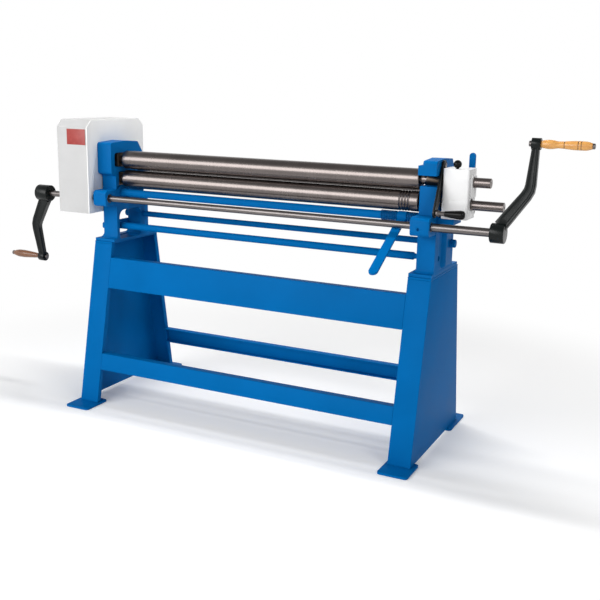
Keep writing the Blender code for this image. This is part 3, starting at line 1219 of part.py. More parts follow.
def crank_blade(line, widths, depths):
    """A cast bar of I section lofted along (x, z) points.

    Width lies in the plane of the line and depth across it. The flutes run along both sides, and run
    out at the ends, where the web is as deep as the flanges.
    """
    shape = bmesh.new()
    rings = []
    for i, (x, z) in enumerate(line):
        before = Vector(line[max(i - 1, 0)])
        after = Vector(line[min(i + 1, len(line) - 1)])
        along = (after - before).normalized()
        across = Vector((along.y, -along.x))
        wide = widths[i] / 2
        deep = depths[i] / 2
        web = deep if i in (0, len(line) - 1) else deep - CRANK_FLUTE
        rim = wide - min(CRANK_FLANGE, wide * 0.45)
        floor = rim - CRANK_FLUTE
        corners = [(-deep, -wide), (deep, -wide), (deep, -rim), (web, -floor), (web, floor), (deep, rim),
                   (deep, wide), (-deep, wide), (-deep, rim), (-web, floor), (-web, -floor), (-deep, -rim)]
        rings.append([shape.verts.new((x + across.x * t, y, z + across.y * t)) for y, t in corners])
    for low, high in zip(rings, rings[1:]):
        for i in range(12):
            shape.faces.new((low[i], low[(i + 1) % 12], high[(i + 1) % 12], high[i]))
    for ring in (rings[0], rings[-1]):
        lower = ring[:3] + ring[11:]
        middle = [ring[2], ring[3], ring[4], ring[5], ring[8], ring[9], ring[10], ring[11]]
        upper = ring[5:9]
        for corner in (lower, middle, upper):
            shape.faces.new(corner)
    return shape


def make_crank(name, side, centre_x, boss_length, boss_radius, offset, knee, radius, angle, shaft_radius,
               eye_length, widths, depths):
    """A cranked arm: boss on the shaft, a bar bent outward at the knee, and an eye for the grip's spindle."""
    boss = turned([(centre_x - boss_length / 2, 0), (centre_x - boss_length / 2, boss_radius - 0.002),
                   (centre_x - boss_length / 2 + 0.002, boss_radius),
                   (centre_x + boss_length / 2 - 0.002, boss_radius),
                   (centre_x + boss_length / 2, boss_radius - 0.002), (centre_x + boss_length / 2, 0)],
                  axis_shaft, SHAFT_SIDES)
    piece = finish(name, boss, BLACK_IRON, at=(centre_x, *axis_shaft))
    arm_x = centre_x + side * offset
    start = boss_radius * 0.72
    foot_x = centre_x + side * 0.004
    run = arm_x - foot_x
    rise = knee - start
    line = [(foot_x, start), (foot_x + run * 0.20, start + rise * 0.20),
            (foot_x + run * 0.86, start + rise * 0.86), (arm_x - run * 0.03, knee + 0.002),
            (arm_x, knee + rise * 0.17), (arm_x, radius - EYE_RADIUS * 1.3),
            (arm_x, radius - EYE_RADIUS * 0.4)]
    blade = crank_blade(line, widths, depths)
    bmesh.ops.transform(blade, matrix=arm_frame(angle), verts=blade.verts)
    join(piece, blade, "bar")
    eye = turned([(arm_x - eye_length / 2, 0), (arm_x - eye_length / 2, EYE_RADIUS),
                  (arm_x + eye_length / 2, EYE_RADIUS), (arm_x + eye_length / 2, 0)],
                 (0.0, radius), SMALL_SIDES)
    bmesh.ops.transform(eye, matrix=arm_frame(angle), verts=eye.verts)
    join(piece, eye, "eye")
    shaft_hole = circle(axis_shaft, bore(shaft_radius), SHAFT_SIDES)
    low, high = sorted((centre_x - side * (boss_length / 2 + 0.01),
                        centre_x + side * (boss_length / 2 - 0.001)))
    cut(piece, plate([shaft_hole], low, high), "shaft_hole")
    pin_hole = plate([circle((0.0, radius), SPINDLE_RADIUS + SEAT_GAP, SMALL_SIDES)],
                     arm_x - eye_length, arm_x + eye_length)
    bmesh.ops.transform(pin_hole, matrix=arm_frame(angle), verts=pin_hole.verts)
    cut(piece, pin_hole, "spindle_hole")
    return piece


def grip_place(radius, angle):
    """(y, z) of a grip's axis."""
    return (SHAFT_Y + radius * sin(angle), SHAFT_Z + radius * cos(angle))


def make_spindle(name, side, inner, outer, centre):
    """Spindle through the eye and the grip: a hexagon head inside, a turned cap outside."""
    radius = SPINDLE_RADIUS
    xs = [inner - side * 0.009, inner, outer + side * SEAT_GAP, outer + side * SPINDLE_CAP]
    profile = [(xs[0], 0), (xs[0], 0.0105), (xs[1], 0.0105), (xs[1], radius), (xs[2], radius),
               (xs[2], 0.0095), (xs[3] - side * 0.002, 0.0095), (xs[3], 0.0075), (xs[3], 0)]
    finish(name, turned(profile, centre, SMALL_SIDES), STEEL, at=(inner, *centre))


def make_grip(name, start, end, outline, centre, radius, material):
    """A turned grip with a bore, from (share of length, share of radius) points."""
    length = end - start
    hole = SPINDLE_RADIUS + RUNNING_CLEARANCE
    profile = [(start + length * share, radius * size) for share, size in outline]
    profile += [(end, hole), (start, hole)]
    finish(name, turned(profile, centre, SHAFT_SIDES, closed=True), material, at=(start, *centre))


make_drive_shaft()
make_crank("right_crank_arm", 1, RIGHT_BOSS_CENTRE, RIGHT_BOSS_LENGTH, RIGHT_BOSS_RADIUS, RIGHT_CRANK_OFFSET,
           RIGHT_KNEE, RIGHT_CRANK_RADIUS, RIGHT_CRANK_ANGLE, SHAFT_OUTER_DIAMETER / 2, RIGHT_EYE_LENGTH,
           [0.042, 0.042, 0.037, 0.036, 0.034, 0.025, 0.023],
           [0.026, 0.024, 0.022, 0.022, 0.022, 0.020, 0.020])
make_crank("left_crank_arm", -1, LEFT_BOSS_CENTRE, LEFT_BOSS_LENGTH, LEFT_BOSS_RADIUS, LEFT_CRANK_OFFSET,
           LEFT_KNEE, LEFT_CRANK_RADIUS, LEFT_CRANK_ANGLE, SHAFT_RADIUS, LEFT_EYE_LENGTH,
           [0.046, 0.044, 0.040, 0.038, 0.036, 0.030, 0.028],
           [0.026, 0.024, 0.022, 0.022, 0.022, 0.020, 0.020])
right_grip_axis = grip_place(RIGHT_CRANK_RADIUS, RIGHT_CRANK_ANGLE)
left_grip_axis = grip_place(LEFT_CRANK_RADIUS, LEFT_CRANK_ANGLE)
make_spindle("right_spindle", 1, RIGHT_ARM_X - RIGHT_EYE_LENGTH / 2 - SEAT_GAP, RIGHT_GRIP_END,
             right_grip_axis)
make_spindle("left_spindle", -1, LEFT_ARM_X + LEFT_EYE_LENGTH / 2 + SEAT_GAP, LEFT_GRIP_END, left_grip_axis)
make_grip("right_grip", RIGHT_GRIP_START, RIGHT_GRIP_END,
          [(0.0, 0.78), (0.03, 0.86), (0.16, 1.0), (0.26, 0.94), (0.34, 0.72), (0.42, 0.76), (0.60, 0.94),
           (0.74, 1.0), (0.90, 0.96), (0.97, 0.78), (1.0, 0.62)],
          right_grip_axis, RIGHT_GRIP_RADIUS, WOOD)
make_grip("left_grip", LEFT_GRIP_START, LEFT_GRIP_END,
          [(0.0, 0.72), (0.06, 0.78), (0.16, 0.74), (0.35, 0.84), (0.60, 1.0), (0.80, 0.98), (0.93, 0.78),
           (1.0, 0.50)],
          left_grip_axis, LEFT_GRIP_RADIUS, WOOD)


# Right bearing housing, its end plate and bracket

def housing_section(inset, step):
    """Plan corners of the housing at one level: (x, y), drawn in by inset or stepped out."""
    return rounded([(HOUSING_LEFT + inset, HOUSING_FRONT + inset - step, 0.006),
                    (HOUSING_RIGHT - inset, HOUSING_FRONT + inset - step, 0.006),
                    (HOUSING_RIGHT - inset, HOUSING_REAR - inset, 0.006),
                    (HOUSING_LEFT + inset, HOUSING_REAR - inset, 0.006)], 3)


def make_housing():
    """White housing over the right journals: open below, with lugs that reach back to the end frame."""
    piece = finish("bearing_housing",
                   plate([housing_section(0.0, 0.0)], HOUSING_STEP_TOP - 0.004, HOUSING_TOP, "z"), WHITE)
    join(piece, plate([housing_section(0.0, HOUSING_STEP)], HOUSING_BOTTOM, HOUSING_STEP_TOP, "z"), "skirt")
    lug = box((RIGHT_OUTER + SEAT_GAP, HOUSING_REAR - HOUSING_LUG_WIDTH - 0.001, HOUSING_BOTTOM + 0.010),
              (HOUSING_LEFT + 0.004, HOUSING_REAR - 0.001, HOUSING_TOP - 0.020))
    join(piece, lug, "lug")
    hollow = box((HOUSING_LEFT + HOUSING_WALL, HOUSING_FRONT + HOUSING_WALL, HOUSING_BOTTOM - 0.01),
                 (HOUSING_RIGHT - HOUSING_WALL, HOUSING_REAR - HOUSING_WALL, HOUSING_TOP - HOUSING_WALL))
    cut(piece, hollow, "hollow")
    hole = circle(axis_top, JOURNAL_BORE + 0.001, SHAFT_SIDES)
    cut(piece, plate([hole], HOUSING_LEFT - 0.01, HOUSING_RIGHT + 0.01), "upper_hole")
    lower_hole = slot_hole(axis_low, JOURNAL_BORE + 0.001, BLOCK_RISE_ROOM, 10)
    cut(piece, plate([lower_hole], HOUSING_LEFT - 0.01, HOUSING_RIGHT + 0.01), "lower_hole")
    stem = circle((HOUSING_LEFT + PLUNGER_OFFSET, PLUNGER_Y), PLUNGER_STEM_RADIUS + SEAT_GAP, SMALL_SIDES)
    cut(piece, plate([stem], HOUSING_TOP - 0.02, HOUSING_TOP + 0.01, "z"), "plunger_hole")


def make_end_plate():
    """Steel plate on the housing's outer end, round the top roll's extension."""
    low = HOUSING_RIGHT + SEAT_GAP
    half = END_PLATE_HALF
    outline = rounded([(-half, END_PLATE_BOTTOM, 0.006), (half, END_PLATE_BOTTOM, 0.006),
                       (half, END_PLATE_TOP, 0.006), (-half, END_PLATE_TOP, 0.006)], 3)
    loops = [outline, circle(axis_top, JOURNAL_BORE + 0.001, SHAFT_SIDES)]
    finish("housing_end_plate", plate(loops, low, low + END_PLATE), WHITE)


def make_bracket():
    """Blue ledge on the right end frame, under the housing."""
    low = RIGHT_OUTER + SEAT_GAP
    high = HOUSING_BOTTOM - SEAT_GAP
    shape = box((low, HOUSING_FRONT, high - BRACKET_HEIGHT), (low + BRACKET_LENGTH, HOUSING_REAR, high))
    finish("housing_bracket", shape, BLUE)


def make_plunger():
    """Index plunger: a steel stem through the housing's top with a black ball on it."""
    x = HOUSING_LEFT + PLUNGER_OFFSET
    ball = HOUSING_TOP + 0.0015 + BALL_RADIUS
    points = [(HOUSING_TOP - HOUSING_WALL - 0.016, 0.0), (HOUSING_TOP - HOUSING_WALL - 0.016, 0.0035),
              (HOUSING_TOP - HOUSING_WALL - 0.004, PLUNGER_STEM_RADIUS)]
    first = -acos(-sqrt(1 - (PLUNGER_STEM_RADIUS / BALL_RADIUS) ** 2))
    for i in range(11):
        turn = first + (0.0 - first) * i / 10
        points.append((ball + BALL_RADIUS * cos(turn), -BALL_RADIUS * sin(turn)))
    shape = turned(points, (0.0, 0.0), SMALL_SIDES)
    bmesh.ops.rotate(shape, verts=shape.verts, cent=(0, 0, 0), matrix=Matrix.Rotation(-pi / 2, 3, "Y"))
    bmesh.ops.translate(shape, verts=shape.verts, vec=(x, PLUNGER_Y, 0.0))
    finish("index_plunger", shape, BLACK_PLASTIC, at=(x, PLUNGER_Y, HOUSING_TOP))


make_housing()
make_end_plate()
make_bracket()
make_plunger()


# Lock lever of the top roll's jaw

lock_pivot = (LOCK_PIVOT_Y, LOCK_PIVOT_Z)
lock_end = (LOCK_END_Y, LOCK_END_Z)


def make_lock_arm():
    """Dark flat arm on a pin in the head, hanging forward between the frame and the housing."""
    low = LOCK_ARM_LEFT
    loops = [tangent_link(lock_pivot, LOCK_ARM_RADIUS + 0.002, lock_end, LOCK_ARM_RADIUS, 10),
             circle(lock_pivot, bore(LOCK_PIN_RADIUS), SHAFT_SIDES),
             circle(lock_end, bore(LOCK_ROD_RADIUS), SHAFT_SIDES)]
    finish("lock_arm", plate(loops, low, low + LOCK_ARM_THICKNESS), BLACK_IRON, at=(low, *lock_pivot))
    return low


def make_lock_pin():
    """Shouldered pin on which the lock arm swings."""
    radius = LOCK_PIN_RADIUS
    seat = RIGHT_OUTER + SEAT_GAP
    head = LOCK_ARM_LEFT + LOCK_ARM_THICKNESS + 0.0004
    profile = [(RIGHT_OUTER - 0.030, 0), (RIGHT_OUTER - 0.030, radius), (seat, radius),
               (seat, radius + 0.004), (seat + 0.0022, radius + 0.004), (seat + 0.0022, radius),
               (head, radius), (head, radius + 0.0025), (head + 0.0022, radius + 0.0025), (head + 0.0022, 0)]
    finish("lock_pin", turned(profile, lock_pivot, SMALL_SIDES), STEEL, at=(seat, *lock_pivot))


def make_lock_rod(arm_low):
    """Steel rod riveted through the arm's lower end: collar, neck, and the spindle inside the grip."""
    radius = LOCK_ROD_RADIUS
    left = arm_low - SEAT_GAP
    right = arm_low + LOCK_ARM_THICKNESS + SEAT_GAP
    neck_end = right + LOCK_NECK_LENGTH
    tip = neck_end + LOCK_GRIP_LENGTH - 0.012
    profile = [
        (left - LOCK_HEAD_LENGTH, 0), (left - LOCK_HEAD_LENGTH, 0.009), (left, 0.009), (left, radius),
        (right, radius), (right, 0.0115), (right + LOCK_COLLAR_LENGTH, 0.0115),
        (right + LOCK_COLLAR_LENGTH, 0.008), (neck_end, 0.008), (neck_end, radius - 0.001),
        (tip, radius - 0.001), (tip, 0),
    ]
    finish("lock_rod", turned(profile, lock_end, SMALL_SIDES), STEEL, at=(right, *lock_end))
    return neck_end


def make_lock_grip(start):
    """Black tapered grip, thicker at its outer end, closed over the rod's tip."""
    end = start + LOCK_GRIP_LENGTH
    hole = LOCK_ROD_RADIUS - 0.001 + RUNNING_CLEARANCE
    low = start + SEAT_GAP
    radius = LOCK_GRIP_RADIUS
    profile = [
        (low, hole), (low, radius * 0.60), (low + 0.015, radius * 0.70),
        (start + LOCK_GRIP_LENGTH * 0.55, radius * 0.94),
        (end - 0.016, radius), (end - 0.006, radius * 0.88), (end - 0.001, radius * 0.50), (end, 0),
    ]
    inner = end - 0.010
    profile = [(inner, 0), (inner, hole)] + profile
    finish("lock_grip", turned(profile, lock_end, SMALL_SIDES), BLACK_PLASTIC, at=(start, *lock_end))


lock_arm_low = make_lock_arm()
make_lock_pin()
make_lock_grip(make_lock_rod(lock_arm_low))
places = {"centre": (CENTRE_X, CENTRE_Y), "front shaft": axis_shaft, "idler": axis_idler,
          "right grip": right_grip_axis, "left grip": left_grip_axis}
for place, (first, second) in places.items():
    print(f"{place}: {first:.6f} {second:.6f}")
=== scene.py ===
from math import cos, pi, radians, sin

import bpy
import numpy as np
from mathutils import Matrix, Vector


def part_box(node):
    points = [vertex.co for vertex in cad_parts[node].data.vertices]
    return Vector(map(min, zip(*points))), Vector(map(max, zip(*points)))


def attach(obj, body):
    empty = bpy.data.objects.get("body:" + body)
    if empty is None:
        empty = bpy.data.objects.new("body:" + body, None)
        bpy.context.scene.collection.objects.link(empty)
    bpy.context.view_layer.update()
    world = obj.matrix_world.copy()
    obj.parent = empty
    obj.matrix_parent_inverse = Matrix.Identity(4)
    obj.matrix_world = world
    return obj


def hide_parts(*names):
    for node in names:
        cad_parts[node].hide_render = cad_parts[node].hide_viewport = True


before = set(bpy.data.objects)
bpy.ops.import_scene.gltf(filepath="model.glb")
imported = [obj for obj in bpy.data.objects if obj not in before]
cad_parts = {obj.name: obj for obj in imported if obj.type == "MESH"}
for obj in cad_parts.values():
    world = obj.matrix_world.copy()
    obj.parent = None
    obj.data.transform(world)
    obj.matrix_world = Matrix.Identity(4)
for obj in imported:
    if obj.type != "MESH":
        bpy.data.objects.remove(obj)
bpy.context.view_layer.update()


# Camera. It stands in front of the machine, beyond its right end and a little above the crank, and
# looks down a little, as the photograph does. The datum is on the floor, midway between the legs and
# under the pinch rolls' axis; the places given below are measured from it.
STAND_HALF_LENGTH = 0.744
leg_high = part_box("right_leg")[1]
roll_low, roll_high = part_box("top_roll")
DATUM = np.array([leg_high.x - STAND_HALF_LENGTH, (roll_low.y + roll_high.y) / 2, 0.0])
EYE = np.array([1.68025, -3.04744, 1.33980])
TURN, TILT, LEAN = radians(26.03), radians(13.25), radians(1.15)
FOCAL_PIXELS, SHIFT_PIXELS = 891.67, -5.29
PICTURE = 600.0

ahead = Vector((-sin(TURN) * cos(TILT), cos(TURN) * cos(TILT), -sin(TILT)))
level = Vector((cos(TURN), sin(TURN), 0.0))
above = level.cross(ahead)
camera_right = level * cos(LEAN) + above * sin(LEAN)
camera_up = above * cos(LEAN) - level * sin(LEAN)
camera_data = bpy.data.cameras.new("camera")
camera_data.sensor_width = 36.0
camera_data.lens = FOCAL_PIXELS / PICTURE * camera_data.sensor_width
camera_data.shift_y = SHIFT_PIXELS / PICTURE
camera_data.clip_end = 60.0
camera = bpy.data.objects.new("camera", camera_data)
camera.matrix_world = Matrix((
    (camera_right.x, camera_up.x, -ahead.x, EYE[0] + DATUM[0]),
    (camera_right.y, camera_up.y, -ahead.y, EYE[1] + DATUM[1]),
    (camera_right.z, camera_up.z, -ahead.z, EYE[2] + DATUM[2]),
    (0.0, 0.0, 0.0, 1.0)))
bpy.context.scene.collection.objects.link(camera)
bpy.context.scene.camera = camera
bpy.context.scene.view_settings.view_transform = "Standard"


# Studio. A room with white walls and a grey ceiling, a broad soft lamp in front on the left, a weaker
# one at the right end and a strip overhead. The floor is white paper, which keeps the shadow near the
# machine and fades into the white of the room further off, so that no horizon shows.
def soft_lamp(name, place, target, width, height, watts, in_reflections=True):
    """A flat soft lamp at a place, turned to its target. It can be kept out of reflections."""
    lamp = bpy.data.lights.new(name, "AREA")
    lamp.shape = "RECTANGLE"
    lamp.size = width
    lamp.size_y = height
    lamp.energy = watts
    holder = bpy.data.objects.new(name, lamp)
    holder.location = place
    holder.rotation_mode = "QUATERNION"
    holder.rotation_quaternion = (Vector(target) - Vector(place)).to_track_quat("-Z", "Y")
    holder.visible_glossy = in_reflections
    bpy.context.scene.collection.objects.link(holder)


soft_lamp("front_lamp", (-1.7, -3.9, 2.2), (0.0, 0.0, 0.8), 4.2, 2.3, 145)
soft_lamp("right_lamp", (3.4, -2.0, 2.6), (0.3, 0.0, 0.8), 1.2, 1.2, 26)
soft_lamp("top_strip", (0.0, 0.45, 3.6), (0.0, 0.0, 0.9), 2.4, 0.25, 70, in_reflections=False)

world = bpy.data.worlds.new("white_room")
bpy.context.scene.world = world
world.use_nodes = True
sky = world.node_tree
sky.nodes.clear()
rays = sky.nodes.new("ShaderNodeLightPath")
seen = sky.nodes.new("ShaderNodeMath")
seen.operation = "MAXIMUM"
sky.links.new(rays.outputs["Is Camera Ray"], seen.inputs[0])
sky.links.new(rays.outputs["Is Glossy Ray"], seen.inputs[1])
seen_too = sky.nodes.new("ShaderNodeMath")
seen_too.operation = "MAXIMUM"
sky.links.new(seen.outputs[0], seen_too.inputs[0])
sky.links.new(rays.outputs["Is Transmission Ray"], seen_too.inputs[1])
strength = sky.nodes.new("ShaderNodeMapRange")
strength.inputs["To Min"].default_value = 0.44
strength.inputs["To Max"].default_value = 1.0
sky.links.new(seen_too.outputs[0], strength.inputs["Value"])
room = sky.nodes.new("ShaderNodeBackground")
toward = sky.nodes.new("ShaderNodeTexCoord")
height = sky.nodes.new("ShaderNodeSeparateXYZ")
sky.links.new(toward.outputs["Generated"], height.inputs[0])
ceiling = sky.nodes.new("ShaderNodeMapRange")
ceiling.interpolation_type = "SMOOTHSTEP"
ceiling.inputs["From Min"].default_value = 0.42
ceiling.inputs["From Max"].default_value = 0.80
ceiling.inputs["To Min"].default_value = 1.0
ceiling.inputs["To Max"].default_value = 0.35
sky.links.new(height.outputs["Z"], ceiling.inputs["Value"])
sky.links.new(ceiling.outputs[0], room.inputs["Color"])
sky.links.new(strength.outputs[0], room.inputs["Strength"])
sky_out = sky.nodes.new("ShaderNodeOutputWorld")
sky.links.new(room.outputs[0], sky_out.inputs["Surface"])

paper = bpy.data.materials.new("white_paper")
paper.use_nodes = True
sheet = paper.node_tree
matt = sheet.nodes["Principled BSDF"]
matt.inputs["Base Color"].default_value = (0.93, 0.93, 0.93, 1.0)
matt.inputs["Roughness"].default_value = 0.9
matt.inputs["Specular IOR Level"].default_value = 0.0
sheet_rays = sheet.nodes.new("ShaderNodeLightPath")
sheet_seen = sheet.nodes.new("ShaderNodeMath")
sheet_seen.operation = "MAXIMUM"
sheet.links.new(sheet_rays.outputs["Is Camera Ray"], sheet_seen.inputs[0])
sheet.links.new(sheet_rays.outputs["Is Glossy Ray"], sheet_seen.inputs[1])
lift = sheet.nodes.new("ShaderNodeMath")
lift.operation = "MULTIPLY"
lift.inputs[1].default_value = 0.14
sheet.links.new(sheet_seen.outputs[0], lift.inputs[0])
matt.inputs["Emission Color"].default_value = (1.0, 1.0, 1.0, 1.0)
sheet.links.new(lift.outputs[0], matt.inputs["Emission Strength"])
sheet_place = sheet.nodes.new("ShaderNodeTexCoord")
away = sheet.nodes.new("ShaderNodeVectorMath")
away.operation = "LENGTH"
sheet.links.new(sheet_place.outputs["Object"], away.inputs[0])
fade = sheet.nodes.new("ShaderNodeMapRange")
fade.interpolation_type = "SMOOTHSTEP"
fade.inputs["From Min"].default_value = 1.1
fade.inputs["From Max"].default_value = 2.3
sheet.links.new(away.outputs["Value"], fade.inputs["Value"])
fade_seen = sheet.nodes.new("ShaderNodeMath")
fade_seen.operation = "MULTIPLY"
sheet.links.new(fade.outputs[0], fade_seen.inputs[0])
sheet.links.new(sheet_seen.outputs[0], fade_seen.inputs[1])
white_light = sheet.nodes.new("ShaderNodeEmission")
blend = sheet.nodes.new("ShaderNodeMixShader")
sheet.links.new(fade_seen.outputs[0], blend.inputs["Fac"])
sheet.links.new(matt.outputs[0], blend.inputs[1])
sheet.links.new(white_light.outputs[0], blend.inputs[2])
sheet.links.new(blend.outputs[0], sheet.nodes["Material Output"].inputs["Surface"])
FLOOR_REACH, FLOOR_Z = 30.0, -0.0005
floor_mesh = bpy.data.meshes.new("floor")
floor_mesh.from_pydata(
    [(-FLOOR_REACH, -FLOOR_REACH, FLOOR_Z), (FLOOR_REACH, -FLOOR_REACH, FLOOR_Z),
     (FLOOR_REACH, FLOOR_REACH, FLOOR_Z), (-FLOOR_REACH, FLOOR_REACH, FLOOR_Z)], [], [(0, 1, 2, 3)])
floor_mesh.materials.append(paper)
floor = bpy.data.objects.new("floor", floor_mesh)
bpy.context.scene.collection.objects.link(floor)


# Blue enamel on the castings and the folded stand: one sprayed coat over primer, with a fine ripple,
# faint clouding, and on the castings the sand's grain under it. The white and black coats are alike.
def enamel(name, colour, grain_depth, roughness, coat, shine):
    """Paint of one colour: clouds of noise shift its tone and gloss, and finer noise raises the ripple."""
    material = bpy.data.materials.new(name)
    material.use_nodes = True
    tree = material.node_tree
    shader = tree.nodes["Principled BSDF"]
    shader.inputs["Coat Weight"].default_value = coat
    shader.inputs["Coat Roughness"].default_value = 0.12
    shader.inputs["Specular IOR Level"].default_value = shine
    where = tree.nodes.new("ShaderNodeTexCoord")
    clouds = tree.nodes.new("ShaderNodeTexNoise")
    clouds.inputs["Scale"].default_value = 5.0
    clouds.inputs["Detail"].default_value = 4.0
    tree.links.new(where.outputs["Object"], clouds.inputs["Vector"])
    tone = tree.nodes.new("ShaderNodeValToRGB")
    tone.color_ramp.elements[0].position = 0.3
    tone.color_ramp.elements[0].color = (*[c * 0.93 for c in colour], 1.0)
    tone.color_ramp.elements[1].position = 0.7
    tone.color_ramp.elements[1].color = (*[min(1.0, c * 1.05) for c in colour], 1.0)
    tree.links.new(clouds.outputs["Fac"], tone.inputs["Fac"])
    tree.links.new(tone.outputs["Color"], shader.inputs["Base Color"])
    ripple = tree.nodes.new("ShaderNodeTexNoise")
    ripple.inputs["Scale"].default_value = 260.0
    ripple.inputs["Detail"].default_value = 3.0
    tree.links.new(where.outputs["Object"], ripple.inputs["Vector"])
    gloss = tree.nodes.new("ShaderNodeMapRange")
    gloss.inputs["To Min"].default_value = roughness - 0.05
    gloss.inputs["To Max"].default_value = roughness + 0.07
    tree.links.new(clouds.outputs["Fac"], gloss.inputs["Value"])
    tree.links.new(gloss.outputs[0], shader.inputs["Roughness"])
    bump = tree.nodes.new("ShaderNodeBump")
    bump.inputs["Strength"].default_value = 0.25
    bump.inputs["Distance"].default_value = grain_depth
    tree.links.new(ripple.outputs["Fac"], bump.inputs["Height"])
    tree.links.new(bump.outputs["Normal"], shader.inputs["Normal"])
    return material


BLUE = (0.0003, 0.128, 0.39)
cast_blue = enamel("cast_blue_enamel", BLUE, 0.0005, 0.45, 0.0, 0.04)
sheet_blue = enamel("sheet_blue_enamel", BLUE, 0.00012, 0.42, 0.0, 0.02)
# The cover and its back plate are one white paint in two tones: the cover's is painted darker, as painted
# shade on its front, and the back plate's lighter, as painted light on the side it shows.
cover_white_painted_shade = enamel("cover_white_painted_shade_enamel", (0.54, 0.54, 0.54), 0.00012, 0.38, 0.1, 0.3)
plate_white_painted_light = enamel("back_plate_white_painted_light_enamel", (0.88, 0.88, 0.87), 0.00010, 0.42, 0.1, 0.3)
housing_white = enamel("housing_white_enamel", (0.86, 0.86, 0.86), 0.00030, 0.38, 0.1, 0.3)
black_iron = enamel("crank_black_enamel", (0.004, 0.006, 0.006), 0.0003, 0.27, 0.0, 0.22)


# Folded stand and cast end frames. Each keeps the solid's shape; its corners are given the small
# round of a folded sheet or of a cast and filed edge, wider on the castings than on the sheet.
def round_off(node, width, material, segments=3, angle=28.0, body="machine_frame"):
    """A copy of a solid with its loose triangles merged, its flats made whole and its edges rounded."""
    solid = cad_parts[node]
    mesh = solid.data.copy()
    mesh.name = f"{node}_finished"
    piece = bpy.data.objects.new(f"{node}_finished", mesh)
    bpy.context.scene.collection.objects.link(piece)
    weld = piece.modifiers.new("merge", "WELD")
    weld.merge_threshold = 0.00001
    flats = piece.modifiers.new("flats", "DECIMATE")
    flats.decimate_type = "DISSOLVE"
    flats.angle_limit = radians(1.0)
    edge = piece.modifiers.new("edges", "BEVEL")
    edge.width = width
    edge.segments = segments
    edge.limit_method = "ANGLE"
    edge.angle_limit = radians(angle)
    edge.harden_normals = True
    mesh.materials.clear()
    mesh.materials.append(material)
    mesh.shade_smooth()
    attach(piece, body)
    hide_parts(node)
    return piece


for node in ("left_leg", "right_leg", "upper_front_beam", "lower_front_beam", "lower_rear_beam"):
    round_off(node, 0.0014, sheet_blue)
for node in ("left_top_plate", "right_top_plate", "left_front_foot", "left_rear_foot", "right_front_foot",
             "right_rear_foot", "housing_bracket", "tie_rod_strap"):
    round_off(node, 0.0010, sheet_blue)
for node in ("left_end_frame", "right_end_frame"):
    round_off(node, 0.0028, cast_blue, angle=40.0)
for node in ("left_swing_arm", "right_swing_arm"):
    round_off(node, 0.0012, cast_blue, body="rear_swing", angle=40.0)
round_off("rear_lever", 0.0020, sheet_blue, body="rear_swing", angle=40.0)
round_off("clamp_lever", 0.0020, sheet_blue, body="clamp", angle=40.0)
round_off("clamp_shaft", 0.0006, sheet_blue, body="clamp", angle=40.0)


# White pieces: the gear cover and its back plate in painted sheet, the cover's white darkened as painted
# shade and the plate's lightened as painted light, and on the right the cast housing with its end plate.
# The casting's edges are rounded more than the sheet's.
round_off("gear_cover", 0.0025, cover_white_painted_shade, angle=20.0)
round_off("gear_case_back", 0.0010, plate_white_painted_light, angle=40.0)
round_off("bearing_housing", 0.0035, housing_white, angle=40.0)
round_off("housing_end_plate", 0.0008, housing_white, angle=40.0)


# Red plate, glued flat on the front of the gear cover: thin sheet printed in one red, with faint
# scuffs from wiping.
red = bpy.data.materials.new("red_plate_print")
red.use_nodes = True
red_tree = red.node_tree
red_shader = red_tree.nodes["Principled BSDF"]
red_where = red_tree.nodes.new("ShaderNodeTexCoord")
red_scuff = red_tree.nodes.new("ShaderNodeTexNoise")
red_scuff.inputs["Scale"].default_value = 70.0
red_scuff.inputs["Detail"].default_value = 5.0
red_tree.links.new(red_where.outputs["Object"], red_scuff.inputs["Vector"])
red_tone = red_tree.nodes.new("ShaderNodeValToRGB")
red_tone.color_ramp.elements[0].position = 0.35
red_tone.color_ramp.elements[0].color = (0.30, 0.022, 0.017, 1.0)
red_tone.color_ramp.elements[1].position = 0.75
red_tone.color_ramp.elements[1].color = (0.36, 0.045, 0.035, 1.0)
red_tree.links.new(red_scuff.outputs["Fac"], red_tone.inputs["Fac"])
red_tree.links.new(red_tone.outputs["Color"], red_shader.inputs["Base Color"])
red_shader.inputs["Roughness"].default_value = 0.35
round_off("cover_blank_plate", 0.0004, red)


# Turned steel of the rolls, shafts and spindles: bar, turned or ground between centres and left
# bare. Each skin is a profile turned about its axis and closed by a fan at each end.
def closed_skin(rows, sides, reverse=False):
    """Faces of a skin of rows of points: quads from row to row, and a fan to a tip at each end.

    Point number row * sides + place lies on a row, and the two tips come after the last row.
    """
    row, place = np.meshgrid(np.arange(rows - 1), np.arange(sides), indexing="ij")
    beside = (place + 1) % sides
    quads = np.stack((row * sides + place, row * sides + beside,
                      (row + 1) * sides + beside, (row + 1) * sides + place), -1).reshape(-1, 4)
    ring = np.arange(sides)
    following = (ring + 1) % sides
    last = (rows - 1) * sides
    near = np.column_stack((np.full(sides, rows * sides), following, ring))
    far = np.column_stack((np.full(sides, rows * sides + 1), last + ring, last + following))
    way = -1 if reverse else 1
    return quads[:, ::way].tolist() + near[:, ::way].tolist() + far[:, ::way].tolist()


def set_skin(name, node, points, faces, body, material, smooth=None):
    """Make a finished piece from its points and faces, in place of a solid; sharp edges from an angle."""
    mesh = bpy.data.meshes.new(name)
    mesh.from_pydata(points.tolist(), [], faces)
    mesh.materials.append(material)
    mesh.shade_smooth()
    if smooth is not None:
        mesh.set_sharp_from_angle(angle=radians(smooth))
    piece = bpy.data.objects.new(name, mesh)
    bpy.context.scene.collection.objects.link(piece)
    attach(piece, body)
    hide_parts(node)


